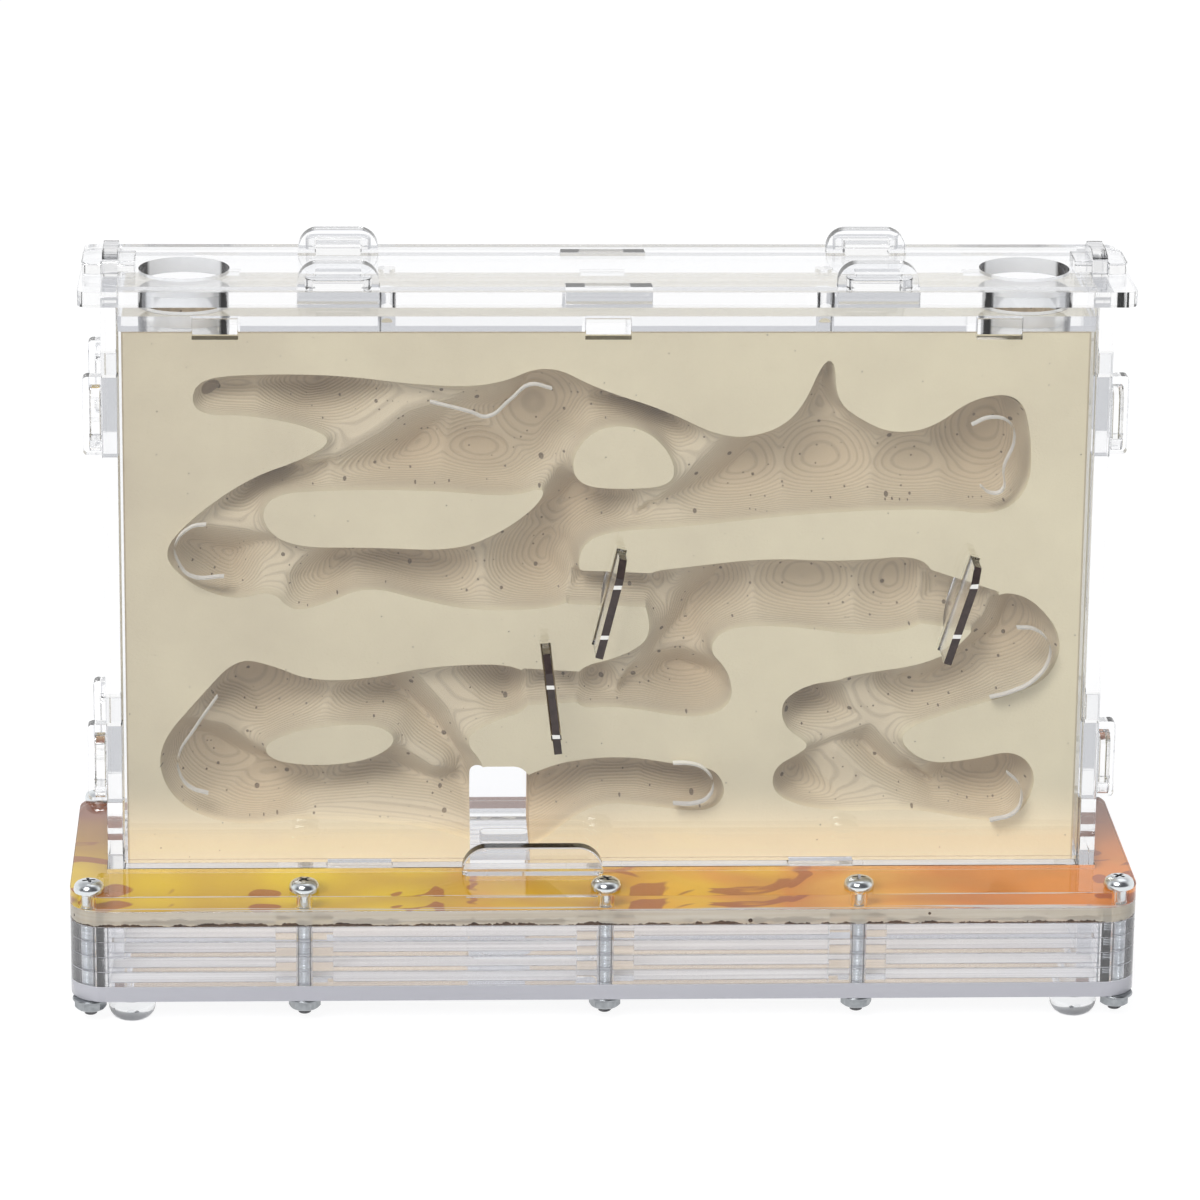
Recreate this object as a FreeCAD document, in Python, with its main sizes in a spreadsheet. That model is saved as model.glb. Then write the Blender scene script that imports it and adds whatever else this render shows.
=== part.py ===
"""Ant habitat: a carved plaster nest between clear walls, standing on a ringed base chamber.

Millimetres. X runs along the base, Y from front to back and Z up. The origin lies on the
floor under the feet, below the middle of the base.
"""
import FreeCAD, Part
import math
import os
import Sketcher

doc = FreeCAD.newDocument("ant_habitat")
sheet = doc.addObject("Spreadsheet::Sheet", "sizes")


class Size:
    """A length or angle that holds its value and the sheet formula which gives it."""

    def __init__(self, value, formula=None):
        self.value = float(value)
        self.formula = formula or repr(float(value))

    def __add__(self, other):
        other = as_size(other)
        return Size(self.value + other.value, f"({self.formula} + {other.formula})")

    def __sub__(self, other):
        other = as_size(other)
        return Size(self.value - other.value, f"({self.formula} - {other.formula})")

    def __mul__(self, other):
        other = as_size(other)
        return Size(self.value * other.value, f"({self.formula} * {other.formula})")

    def __truediv__(self, other):
        other = as_size(other)
        return Size(self.value / other.value, f"({self.formula} / {other.formula})")

    def __neg__(self):
        return Size(-self.value, f"(0 - {self.formula})")

    __radd__ = __add__
    __rmul__ = __mul__


def as_size(number):
    return number if isinstance(number, Size) else Size(number)


def sine(angle):
    return Size(math.sin(math.radians(angle.value)), f"sin({angle.formula})")


def cosine(angle):
    return Size(math.cos(math.radians(angle.value)), f"cos({angle.formula})")


sheet_rows = []


def size(name, value, meaning):
    """Writes one driving size to the sheet and returns it."""
    sheet_rows.append(name)
    row = len(sheet_rows)
    sheet.set(f"A{row}", name)
    sheet.set(f"B{row}", str(value))
    sheet.setAlias(f"B{row}", name)
    sheet.set(f"C{row}", meaning)
    return Size(value, f"sizes.{name}")


# The base: a bottom plate, a stack of open rings and a printed top plate.
RING_COUNT = 5
base_length = size("base_length", 270, "base along X")
base_depth = size("base_depth", 79, "base along Y")
base_corner = size("base_corner", 9, "outer corner radius of the base plates")
layer_thickness = size("layer_thickness", 4, "each plate and ring of the base")
ring_end_wall = size("ring_end_wall", 8.6, "wall of a ring at its ends")
ring_long_wall = size("ring_long_wall", 5, "wall of a ring at front and back")
ring_corner = size("ring_corner", 3, "inner corner radius of a ring")
boss_width = size("boss_width", 14.5, "boss round a middle screw, along X")
boss_depth = size("boss_depth", 10, "boss from the outer face inwards")
chamber_height = layer_thickness * RING_COUNT

# The feet and the clamp screws.
foot_height = size("foot_height", 6.5, "rubber foot")
foot_radius = size("foot_radius", 6, "rubber foot")
foot_bevel = size("foot_bevel", 4, "bevels of a foot towards its sole")
foot_end_inset = size("foot_end_inset", 15.4, "foot centre from the end of the base")
foot_side_inset = size("foot_side_inset", 6.6, "foot centre from the long side of the base")
screw_radius = size("screw_radius", 2, "clamp screw shank")
screw_hole_gap = size("screw_hole_gap", 0.1, "radial play of a screw in the plates")
screw_head_radius = size("screw_head_radius", 3.9, "pan head")
screw_head_height = size("screw_head_height", 3.1, "pan head")
screw_head_bevel = size("screw_head_bevel", 1.2, "bevelled rim of the pan head")
nut_flats = size("nut_flats", 7, "nut across its flats")
nut_height = size("nut_height", 3.2, "nut")
nut_bore_gap = size("nut_bore_gap", 0.05, "radial play of the nut on the shank")
screw_tip = size("screw_tip", 1.5, "screw end below the nut")
screw_end_inset = size("screw_end_inset", 5, "end screw from the end of the base")
screw_side_inset = size("screw_side_inset", 4.6, "screws from the long side of the base")
screw_left = size("screw_left", -76, "left middle screw along X")
screw_right = size("screw_right", 64, "right middle screw along X")

# The nest: plaster between a front and a back panel, boxed in by two side panels.
panel_thickness = size("panel_thickness", 4, "clear sheet of the nest walls")
nest_inset = size("nest_inset", 13.1, "inside of a side panel from the end of the base")
nest_depth = size("nest_depth", 32, "between the front and back panel")
nest_height = size("nest_height", 138.9, "plaster block above the floor plate")
nest_setback = size("nest_setback", 6.1, "middle of the nest behind the middle of the base")
side_panel_depth = size("side_panel_depth", 48, "side panel along Y")
opening_gap = size("opening_gap", 0.25, "play of the nest in the printed plate")
slot_gap = size("slot_gap", 0.15, "play of a tab in its slot, each side")
plaster_gap = size("plaster_gap", 0.9, "plaster from a side panel")
lid_gap = size("lid_gap", 4.2, "air between the ceiling plate and the lid")
lid_overhang = size("lid_overhang", 5.6, "lid past a side panel")
lid_depth = size("lid_depth", 50.6, "lid along Y")
lid_corner = size("lid_corner", 3, "corner radius of the lid")

# Ears, tabs and their slots.
ear_rise = size("ear_rise", 5.9, "ear above the lid")
ear_corner = size("ear_corner", 5, "rounding of an ear above the lid")
lid_ear_width = size("lid_ear_width", 20.2, "lid ear of the front and back panel")
lid_ear_place = size("lid_ear_place", 67.1, "lid ear from the middle")
end_ear_width = size("end_ear_width", 18, "lid ear of a side panel")
centre_tab_width = size("centre_tab_width", 21.4, "tab that ends flush in the lid")
wall_ear_reach = size("wall_ear_reach", 4.8, "ear of the front and back panel past a side panel")
wall_ear_height = size("wall_ear_height", 20.2, "ear at a side panel")
wall_ear_corner = size("wall_ear_corner", 1.2, "rounding of an ear at a side panel")
lower_ear = size("lower_ear", 16.9, "lower ear above the floor plate")
upper_ear = size("upper_ear", 107.9, "upper ear above the floor plate")
panel_foot_width = size("panel_foot_width", 16.3, "foot tab of the front and back panel")
panel_foot_left = size("panel_foot_left", -62, "left foot tab along X")
panel_foot_right = size("panel_foot_right", 56, "right foot tab along X")
floor_tab_width = size("floor_tab_width", 16, "end tab of the floor plate")
ceiling_tab_width = size("ceiling_tab_width", 11.2, "tab of the ceiling plate")
ceiling_tab_place = size("ceiling_tab_place", 97.7, "outer ceiling tab from the middle")
ceiling_slot_drop = size("ceiling_slot_drop", 1.3, "ceiling slot below its tab")

# T-shaped keys through the ears.
key_thickness = size("key_thickness", 2.9, "key")
key_head_width = size("key_head_width", 16.5, "head of a key")
key_head_depth = size("key_head_depth", 5, "head of a key")
key_head_corner = size("key_head_corner", 3, "outer corners of a key's head")
key_neck_width = size("key_neck_width", 11.3, "neck of a key")
key_neck_depth = size("key_neck_depth", 8.2, "neck of a key")
key_gap = size("key_gap", 0.15, "play round a key's neck")

# Ports, vents and the way down to the base.
port_radius = size("port_radius", 11.35, "port in the lid and the ceiling plate")
port_inset = size("port_inset", 16.2, "port centre from a side panel")
port_floor = size("port_floor", 119, "floor of the port's bore in the plaster")
port_bore_gap = size("port_bore_gap", 0.3, "the plaster's bore is wider than the port")
vent_radius = size("vent_radius", 2.25, "watering hole in the lid and the ceiling plate")
vent_place = size("vent_place", 55, "watering hole from the middle")
passage_place = size("passage_place", -26.1, "middle of the passage along X")
notch_width = size("notch_width", 15.4, "doorway in the plaster")
notch_height = size("notch_height", 24.7, "doorway in the plaster")
notch_corner = size("notch_corner", 4.5, "top corners of the doorway")
hole_length = size("hole_length", 12.9, "passage hole in the floor plate, along X")
hole_depth = size("hole_depth", 14.7, "passage hole in the floor plate, along Y")
hole_corner = size("hole_corner", 2.5, "corner radius of the passage hole")
hole_shift = size("hole_shift", 1.8, "passage hole to the right of the doorway's middle")

# The carved tunnels, milled in steps that narrow with depth.
tunnel_depth = size("tunnel_depth", 16, "floor of the chambers behind the plaster face")
tunnel_step = size("tunnel_step", 1.4, "each milling step narrows the tunnel by this")
corridor_depth = size("corridor_depth", 9.9, "floor of the corridors at the nest gates")

# Nest gates: thin plates that slide through the front panel and close a corridor.
gate_thickness = size("gate_thickness", 2, "nest gate")
gate_height = size("gate_height", 25.5, "nest gate")
gate_proud = size("gate_proud", 12, "nest gate in front of the front panel")
gate_reach = size("gate_reach", 14, "nest gate behind the front panel's face")
gate_end_round = size("gate_end_round", 6, "inner corners of a nest gate")
gate_chamfer = size("gate_chamfer", 4, "upper outer corner of a nest gate")
gate_gap = size("gate_gap", 0.3, "play of a nest gate, each side")
kerf_floor_gap = size("kerf_floor_gap", 1, "kerf in the plaster past the gate's end")

# The passage gate: an upright plate through a slot in the printed plate.
grip_width = size("grip_width", 35.9, "grip of the passage gate")
grip_height = size("grip_height", 7.3, "grip above the printed plate")
grip_corner = size("grip_corner", 6.5, "top corners of the grip")
blade_width = size("blade_width", 33.4, "blade of the passage gate")
blade_depth = size("blade_depth", 22, "blade below the plate's top")
blade_corner = size("blade_corner", 2, "bottom corners of the blade")
blade_gap = size("blade_gap", 0.3, "play of the blade in its slot")
passage_gate_place = size("passage_gate_place", -18.15, "passage gate along X")
passage_gate_gap = size("passage_gate_gap", 2.15, "passage gate in front of the nest's opening")

# Levels and faces that several pieces share.
chamber_floor = foot_height + layer_thickness
base_top = chamber_floor + chamber_height + layer_thickness
ceiling_level = nest_height
lid_level = nest_height + panel_thickness + lid_gap
lid_top = lid_level + panel_thickness
ear_top = lid_top + ear_rise
front_face = nest_setback - nest_depth / 2 - panel_thickness
back_face = nest_setback + nest_depth / 2 + panel_thickness
plaster_face = front_face + panel_thickness
nest_length = base_length - nest_inset * 2
wall_inside = nest_length / 2
wall_outside = wall_inside + panel_thickness
key_window = key_thickness + key_gap * 2
neck_window = key_neck_width / 2 + key_gap * 2
port_place = wall_inside - port_inset
screw_end = base_length / 2 - screw_end_inset
screw_row = base_depth / 2 - screw_side_inset
opening_front = nest_setback - side_panel_depth / 2 - opening_gap
passage_gate_face = opening_front - passage_gate_gap - panel_thickness

screw_columns = [-screw_end, screw_left, Size(0), screw_right, screw_end]
screw_places = [(x, y) for x in screw_columns for y in (-screw_row, screw_row)]

# The carving is laid out on a face of this width and height, and stretches with the block.
LAYOUT_WIDTH = 243.8
LAYOUT_HEIGHT = 138.9
stretch_x = nest_length / LAYOUT_WIDTH
stretch_z = nest_height / LAYOUT_HEIGHT

# Each nest gate: its name, its middle on the face, and its lean from the upright.
gate_layout = [
    ("nest_gate_upper", (1.0, 70.5), size("upper_gate_lean", 13.5, "degrees, top to the right")),
    ("nest_gate_right", (89.5, 68.5), size("right_gate_lean", 17, "degrees, top to the right")),
    ("nest_gate_left", (-13.5, 45.5), size("left_gate_lean", -6.8, "degrees, top to the left")),
]

UPPER_GALLERY = [
    (-103, 124), (-94, 128), (-68, 128), (-45, 125), (-28, 125), (-15, 131), (-2, 124),
    (14, 119), (30, 111), (42, 113), (51, 121), (56, 131), (60, 121), (70, 113), (82, 114),
    (92, 122), (104, 123), (107, 111), (107, 98), (99, 91), (84, 93), (53, 92), (18, 88),
    (-1, 87), (-7, 82), (-6, 74), (-9, 67), (-32, 66), (-46, 69), (-60, 73), (-71, 68),
    (-79, 66), (-84, 72), (-93, 69), (-104, 73), (-112, 81), (-105, 90), (-90, 101),
    (-76, 106), (-68, 111), (-76, 115), (-92, 118),
]
MIDDLE_CHAMBER = [
    (7, 76), (23, 78), (41, 80), (61, 79), (81, 81), (84, 72), (82, 62), (67, 59), (48, 62),
    (31, 62), (26, 56), (32, 50), (33, 41), (24, 37), (4, 41), (-8, 40), (-8, 51), (5, 54),
    (13, 60),
]
LEFT_CHAMBER = [
    (-18, 52), (-42, 52), (-61, 48), (-75, 48), (-84, 52), (-93, 54), (-102, 44), (-113, 31),
    (-112, 20), (-104, 12), (-91, 9), (-78, 11), (-58, 10), (-42, 8), (-29, 3), (-29, 24),
    (-36, 32), (-28, 37), (-18, 40),
]
RIGHT_CHAMBER = [
    (98, 71), (108, 70), (117, 59), (114, 48), (103, 43), (88, 39), (74, 33), (82, 25),
    (94, 26), (106, 29), (112, 21), (106, 9), (94, 10), (80, 13), (58, 12), (44, 16), (44, 24),
    (54, 30), (46, 38), (48, 44), (66, 50), (84, 52), (94, 60),
]
LOWER_CHAMBER = [
    (-23, 23), (-10, 25), (6, 28), (20, 25), (29, 24), (32, 17), (27, 12), (12, 14), (0, 15),
    (-8, 11), (-17, 3), (-23, 3),
]
TUNNELS = [UPPER_GALLERY, MIDDLE_CHAMBER, LEFT_CHAMBER, RIGHT_CHAMBER, LOWER_CHAMBER]
ISLANDS = [
    [(-87, 90), (-84, 97), (-69, 98), (-44, 98), (-24, 96), (-15, 99), (-17, 94), (-26, 87),
     (-38, 82), (-58, 83), (-80, 83)],
    [(-9, 106), (-4, 113), (3, 115), (11, 113), (17, 106), (17, 99), (4, 98), (-7, 99)],
    [(-87, 30), (-80, 34), (-68, 36), (-57, 36), (-52, 32), (-58, 27), (-70, 25), (-83, 26)],
]
CORRIDORS = [
    [(-10, 68), (14, 67), (14, 76), (-10, 77)],
    [(78, 63), (98, 60), (100, 71), (79, 78)],
    [(-21, 41), (-5, 42), (-5, 50), (-21, 51)],
]

SAME_PLACE = 1e-7
BEVEL_MIDDLE = 1 - math.sqrt(0.5)
parts = []


def bind(target, path, value):
    """Ties a property to its sheet formula."""
    target.setExpression(path, as_size(value).formula)


def add_body(name, x=0, y=0, z=0, rotation=None):
    """Starts a sub-part whose own origin stands at x, y, z."""
    body = doc.addObject("PartDesign::Body", name)
    body.Label = name
    place = [as_size(x), as_size(y), as_size(z)]
    corner = FreeCAD.Vector(*[length.value for length in place])
    body.Placement = FreeCAD.Placement(corner, rotation or FreeCAD.Rotation())
    for axis, length in zip("xyz", place):
        bind(body, f"Placement.Base.{axis}", length)
    parts.append(body)
    return body


def add_sketch(body, role, name, level=0):
    """Attaches a sketch to one of the body's own planes, level above it along its normal."""
    plane = next(p for p in body.Origin.OriginFeatures if p.Role == role)
    sketch = body.newObject("Sketcher::SketchObject", f"{body.Name}_{name}")
    sketch.AttachmentSupport = [(plane, "")]
    sketch.MapMode = "FlatFace"
    bind(sketch, "AttachmentOffset.Base.z", level)
    return sketch


def pinned(item, point, x, y):
    """Fixes one point of a sketch by its two distances from the origin."""
    return [(Sketcher.Constraint(kind, item, point, length.value), length)
            for kind, length in (("DistanceX", x), ("DistanceY", y))]


def add_rules(sketch, rules):
    """Adds constraints in one go, and ties each that has a length to its formula."""
    first = sketch.ConstraintCount
    sketch.addConstraint([constraint for constraint, _ in rules])
    for index, (_, length) in enumerate(rules, first):
        if length is not None:
            bind(sketch, f"Constraints[{index}]", length)


def joined(item, point, other, other_point):
    """Makes two ends of a sketch meet."""
    return Sketcher.Constraint("Coincident", item, point, other, other_point), None


def sign(number):
    return (number > 0) - (number < 0)


def corner_ends(corners, index):
    """Gives where a corner's rounding starts, where it ends, and the centre of its arc."""
    x, y = as_size(corners[index][0]), as_size(corners[index][1])
    if len(corners[index]) == 2:
        return (x, y), (x, y), None
    radius = corners[index][2]
    steps = []
    for other in (corners[index - 1], corners[(index + 1) % len(corners)]):
        step_x = sign(round(as_size(other[0]).value - x.value, 6))
        step_y = sign(round(as_size(other[1]).value - y.value, 6))
        steps.append((step_x, step_y))
    start, end = [(x + radius * dx, y + radius * dy) for dx, dy in steps]
    centre = (x + radius * (steps[0][0] + steps[1][0]), y + radius * (steps[0][1] + steps[1][1]))
    return start, end, centre


def flat(point):
    return FreeCAD.Vector(as_size(point[0]).value, as_size(point[1]).value, 0)


def arc_between(start, end, centre):
    """Makes the arc under half a turn, and tells whether it runs from start to end."""
    from_centre = [flat(point) - flat(centre) for point in (start, end)]
    angles = [math.atan2(arm.y, arm.x) for arm in from_centre]
    circle = Part.Circle(flat(centre), FreeCAD.Vector(0, 0, 1), from_centre[0].Length)
    forward = (angles[1] - angles[0]) % (2 * math.pi) < math.pi
    first, last = angles if forward else reversed(angles)
    return Part.ArcOfCircle(circle, first, last), forward


def side_rules(item, start, end):
    """Holds a level or upright side in place; a leaning side is held by its ends alone."""
    if abs(start[0].value - end[0].value) < SAME_PLACE:
        place = Sketcher.Constraint("DistanceX", item, 1, start[0].value), start[0]
        return [(Sketcher.Constraint("Vertical", item), None), place]
    if abs(start[1].value - end[1].value) < SAME_PLACE:
        place = Sketcher.Constraint("DistanceY", item, 1, start[1].value), start[1]
        return [(Sketcher.Constraint("Horizontal", item), None), place]
    return []


def outline(sketch, corners):
    """Draws a closed outline; a corner is (x, y), or (x, y, radius) between level sides."""
    ends = [corner_ends(corners, index) for index in range(len(corners))]
    places = [(as_size(corner[0]), as_size(corner[1])) for corner in corners]
    count = len(corners)
    sides = [sketch.addGeometry(Part.LineSegment(flat(ends[i][1]), flat(ends[(i + 1) % count][0])))
             for i in range(count)]
    rules = []
    for index, (start, end, centre) in enumerate(ends):
        before, after = sides[index - 1], sides[index]
        rules += side_rules(after, places[index], places[(index + 1) % count])
        if centre:
            arc, forward = arc_between(start, end, centre)
            item = sketch.addGeometry(arc)
            first, last = (1, 2) if forward else (2, 1)
            rules.append((Sketcher.Constraint("Tangent", before, 2, item, first), None))
            rules.append((Sketcher.Constraint("Tangent", item, last, after, 1), None))
            rules.append((Sketcher.Constraint("Radius", item, arc.Radius), corners[index][2]))
            continue
        rules.append(joined(before, 2, after, 1))
        around = (places[index - 1], places[(index + 1) % count])
        for axis, kind in enumerate(("DistanceX", "DistanceY")):
            place = places[index][axis]
            if all(abs(place.value - other[axis].value) > SAME_PLACE for other in around):
                rules.append((Sketcher.Constraint(kind, after, 1, place.value), place))
    add_rules(sketch, rules)


def box_outline(sketch, x, y, half_x, half_y, radius=None):
    """Draws a rectangle round its middle, with rounded corners if it has a radius."""
    rounding = () if radius is None else (radius,)
    signs = [(-1, -1), (1, -1), (1, 1), (-1, 1)]
    outline(sketch, [(x + half_x * i, y + half_y * j, *rounding) for i, j in signs])


def circle(sketch, x, y, radius):
    x, y = as_size(x), as_size(y)
    normal = FreeCAD.Vector(0, 0, 1)
    item = sketch.addGeometry(Part.Circle(flat((x, y)), normal, radius.value))
    rules = pinned(item, 3, x, y)
    rules.append((Sketcher.Constraint("Radius", item, radius.value), radius))
    add_rules(sketch, rules)


def leaning_box(sketch, x, y, half_width, half_height, lean):
    """Draws a rectangle that leans from the upright by an angle, to the right."""
    corners = []
    for i, j in ((-1, -1), (1, -1), (1, 1), (-1, 1)):
        across, along = half_width * i, half_height * j
        corner_x = x + across * cosine(lean) + along * sine(lean)
        corner_y = y - across * sine(lean) + along * cosine(lean)
        corners.append((corner_x, corner_y))
    outline(sketch, corners)


def shifted_inwards(points, distance):
    """Moves each side of a freehand outline inwards, or outwards for a negative distance."""
    count = len(points)
    area = sum(points[i - 1][0] * points[i][1] - points[i][0] * points[i - 1][1]
               for i in range(count))
    moved = []
    for i, (x, y) in enumerate(points):
        before = FreeCAD.Vector(x - points[i - 1][0], y - points[i - 1][1], 0).normalize()
        after_x, after_y = points[(i + 1) % count]
        after = FreeCAD.Vector(after_x - x, after_y - y, 0).normalize()
        inward = FreeCAD.Vector(-before.y - after.y, before.x + after.x, 0)
        inward *= sign(area) * distance / (1 + before.dot(after))
        moved.append((x + inward.x, y + inward.y))
    return moved


def freehand(sketch, points):
    """Draws a hand-carved outline: straight runs joined by arcs as wide as the runs allow."""
    tangent_share = 0.45
    count = len(points)
    spots = [FreeCAD.Vector(x, y, 0) for x, y in points]
    arcs = []
    for i, spot in enumerate(spots):
        back, ahead = spots[i - 1] - spot, spots[(i + 1) % count] - spot
        reach = tangent_share * min(back.Length, ahead.Length)
        start = spot + FreeCAD.Vector(back).normalize() * reach
        end = spot + FreeCAD.Vector(ahead).normalize() * reach
        half_turn = (math.pi - back.getAngle(ahead)) / 2
        middle = (start + end) / 2
        to_centre = FreeCAD.Vector(middle - spot).normalize()
        arcs.append((start, end, spot + to_centre * (reach / math.sin(half_turn))))
    for i, (start, end, centre) in enumerate(arcs):
        arc, _ = arc_between(start, end, centre)
        after = arcs[(i + 1) % count][0]
        sketch.addGeometry([arc, Part.LineSegment(end, after)])


def add_pad(body, sketch, length, towards_normal=True):
    pad = body.newObject("PartDesign::Pad", f"{sketch.Name}_pad")
    pad.Profile = sketch
    pad.Reversed = not towards_normal
    bind(pad, "Length", length)
    sketch.Visibility = False
    doc.recompute()
    return pad


def add_pocket(body, sketch, length):
    """Cuts against the sketch's normal, and makes sure that material went."""
    volume = body.Shape.Volume
    pocket = body.newObject("PartDesign::Pocket", f"{sketch.Name}_pocket")
    pocket.Profile = sketch
    bind(pocket, "Length", length)
    sketch.Visibility = False
    doc.recompute()
    if body.Shape.Volume >= volume:
        raise RuntimeError(f"{pocket.Name} cuts nothing")
    return pocket


def foot(name, x, y):
    """Rubber bumper foot, turned: an upright rim and two bevels down to the flat sole."""
    body = add_body(name, x, y, 0)
    sketch = add_sketch(body, "XZ_Plane", "profile")
    middle = foot_bevel * BEVEL_MIDDLE
    outline(sketch, [
        (Size(0), Size(0)), (foot_radius - foot_bevel, Size(0)), (foot_radius - middle, middle),
        (foot_radius, foot_bevel), (foot_radius, foot_height), (Size(0), foot_height),
    ])
    turned = body.newObject("PartDesign::Revolution", f"{name}_turned")
    turned.Profile = sketch
    turned.ReferenceAxis = (sketch, ["V_Axis"])
    sketch.Visibility = False


def base_outline(sketch):
    box_outline(sketch, Size(0), Size(0), base_length / 2, base_depth / 2, base_corner)
    for x, y in screw_places:
        circle(sketch, x, y, screw_radius + screw_hole_gap)


def bottom_plate():
    body = add_body("bottom_plate", 0, 0, foot_height)
    sketch = add_sketch(body, "XY_Plane", "outline")
    base_outline(sketch)
    add_pad(body, sketch, layer_thickness)


def boss_side(side):
    """Gives the inner edge of a ring along one long side, with a boss at each middle screw."""
    wall_line = (base_depth / 2 - ring_long_wall) * side
    boss_line = (base_depth / 2 - boss_depth) * side
    corners = []
    for x in screw_columns[1:-1]:
        left, right = x - boss_width / 2, x + boss_width / 2
        corners += [(left, wall_line), (left, boss_line),
                    (right, boss_line), (right, wall_line)]
    return corners


def base_ring(number):
    level = chamber_floor + layer_thickness * (number - 1)
    body = add_body(f"base_ring_{number}", 0, 0, level)
    sketch = add_sketch(body, "XY_Plane", "outline")
    base_outline(sketch)
    end = base_length / 2 - ring_end_wall
    side = base_depth / 2 - ring_long_wall
    window = [(-end, -side, ring_corner), *boss_side(-1), (end, -side, ring_corner),
              (end, side, ring_corner), *reversed(boss_side(1)), (-end, side, ring_corner)]
    outline(sketch, window)
    add_pad(body, sketch, layer_thickness)


def printed_plate():
    """Top of the base: it opens for the nest and has a slot for the passage gate."""
    body = add_body("printed_plate", 0, 0, base_top - layer_thickness)
    sketch = add_sketch(body, "XY_Plane", "outline")
    base_outline(sketch)
    box_outline(sketch, Size(0), nest_setback, wall_outside + opening_gap,
                side_panel_depth / 2 + opening_gap)
    box_outline(sketch, passage_gate_place, passage_gate_face + panel_thickness / 2,
                blade_width / 2 + blade_gap, panel_thickness / 2 + blade_gap)
    add_pad(body, sketch, layer_thickness)


def clamp_screws():
    """Pan-head screws through the whole base, one solid each."""
    body = add_body("clamp_screws", 0, 0, base_top)
    body.AllowCompound = True
    heads = add_sketch(body, "XY_Plane", "heads")
    shanks = add_sketch(body, "XY_Plane", "shanks")
    for x, y in screw_places:
        circle(heads, x, y, screw_head_radius)
        circle(shanks, x, y, screw_radius)
    pad = add_pad(body, heads, screw_head_height)
    rims = [f"Edge{index + 1}" for index, edge in enumerate(pad.Shape.Edges)
            if len(edge.Vertexes) == 1
            and abs(edge.CenterOfMass.z - pad.Shape.BoundBox.ZMax) < SAME_PLACE]
    bevel = body.newObject("PartDesign::Chamfer", "clamp_screws_bevel")
    bevel.Base = (pad, rims)
    bind(bevel, "Size", screw_head_bevel)
    shank_length = base_top - foot_height + nut_height + screw_tip
    add_pad(body, shanks, shank_length, towards_normal=False)


def clamp_nuts():
    """Hexagon nuts under the bottom plate, one solid each."""
    body = add_body("clamp_nuts", 0, 0, foot_height - nut_height)
    body.AllowCompound = True
    sketch = add_sketch(body, "XY_Plane", "hexagons")
    half_flats = nut_flats / 2
    corner_reach = half_flats / cosine(Size(30))
    for x, y in screw_places:
        corners = [(x + corner_reach * cosine(Size(angle)), y + corner_reach * sine(Size(angle)))
                   for angle in range(0, 360, 60)]
        outline(sketch, corners)
        circle(sketch, x, y, screw_radius + nut_bore_gap)
    add_pad(body, sketch, nut_height)


def floor_plate():
    """Clear floor of the nest, flush with the base's top, with its end tabs in the side panels."""
    body = add_body("floor_plate", 0, nest_setback, base_top - layer_thickness)
    sketch = add_sketch(body, "XY_Plane", "outline")
    inner, outer = wall_inside - slot_gap, wall_outside
    half_depth, half_tab = side_panel_depth / 2, floor_tab_width / 2
    outline(sketch, [
        (-inner, -half_depth), (inner, -half_depth),
        (inner, -half_tab), (outer, -half_tab), (outer, half_tab), (inner, half_tab),
        (inner, half_depth), (-inner, half_depth),
        (-inner, half_tab), (-outer, half_tab), (-outer, -half_tab), (-inner, -half_tab),
    ])
    wall_line = (nest_depth + panel_thickness) / 2
    for x in (panel_foot_left, panel_foot_right):
        for y in (-wall_line, wall_line):
            box_outline(sketch, x, y, panel_foot_width / 2 + slot_gap,
                        panel_thickness / 2 + slot_gap)
    box_outline(sketch, passage_place + hole_shift, Size(0), hole_length / 2, hole_depth / 2,
                hole_corner)
    add_pad(body, sketch, layer_thickness)


def wall_outline(sketch):
    """Outline of the front and back panel: feet, ears at the sides, ears and a tab on top."""
    edge = wall_inside - slot_gap
    reach = wall_outside + wall_ear_reach
    corners = []
    for x in (panel_foot_left, panel_foot_right):
        left, right = x - panel_foot_width / 2, x + panel_foot_width / 2
        corners += [(left, Size(0)), (left, -layer_thickness),
                    (right, -layer_thickness), (right, Size(0))]
    corners.append((edge, Size(0)))
    right_side = []
    for low in (lower_ear, upper_ear):
        high = low + wall_ear_height
        right_side += [(edge, low), (reach, low, wall_ear_corner),
                       (reach, high, wall_ear_corner), (edge, high)]
    right_side.append((edge, lid_level))
    corners += right_side
    for x, width, top, rounding in ((lid_ear_place, lid_ear_width, ear_top, (ear_corner,)),
                                    (Size(0), centre_tab_width, lid_top, ()),
                                    (-lid_ear_place, lid_ear_width, ear_top, (ear_corner,))):
        left, right = x - width / 2, x + width / 2
        corners += [(right, lid_level), (right, top, *rounding),
                    (left, top, *rounding), (left, lid_level)]
    corners += [(-x, y, *rounding) for x, y, *rounding in reversed(right_side)]
    corners.append((-edge, Size(0)))
    outline(sketch, corners)


def wall_windows(sketch):
    """Key windows in the ears, and the slots that carry the ceiling plate."""
    for side in (-1, 1):
        box_outline(sketch, lid_ear_place * side, lid_top + key_window / 2,
                    neck_window, key_window / 2)
        for low in (lower_ear, upper_ear):
            box_outline(sketch, (wall_outside + key_window / 2) * side,
                        low + wall_ear_height / 2, key_window / 2, neck_window)
    slot_low = ceiling_level - ceiling_slot_drop
    slot_high = ceiling_level + panel_thickness + slot_gap
    for x in (-ceiling_tab_place, Size(0), ceiling_tab_place):
        box_outline(sketch, x, (slot_low + slot_high) / 2, ceiling_tab_width / 2 + slot_gap,
                    (slot_high - slot_low) / 2)


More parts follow.
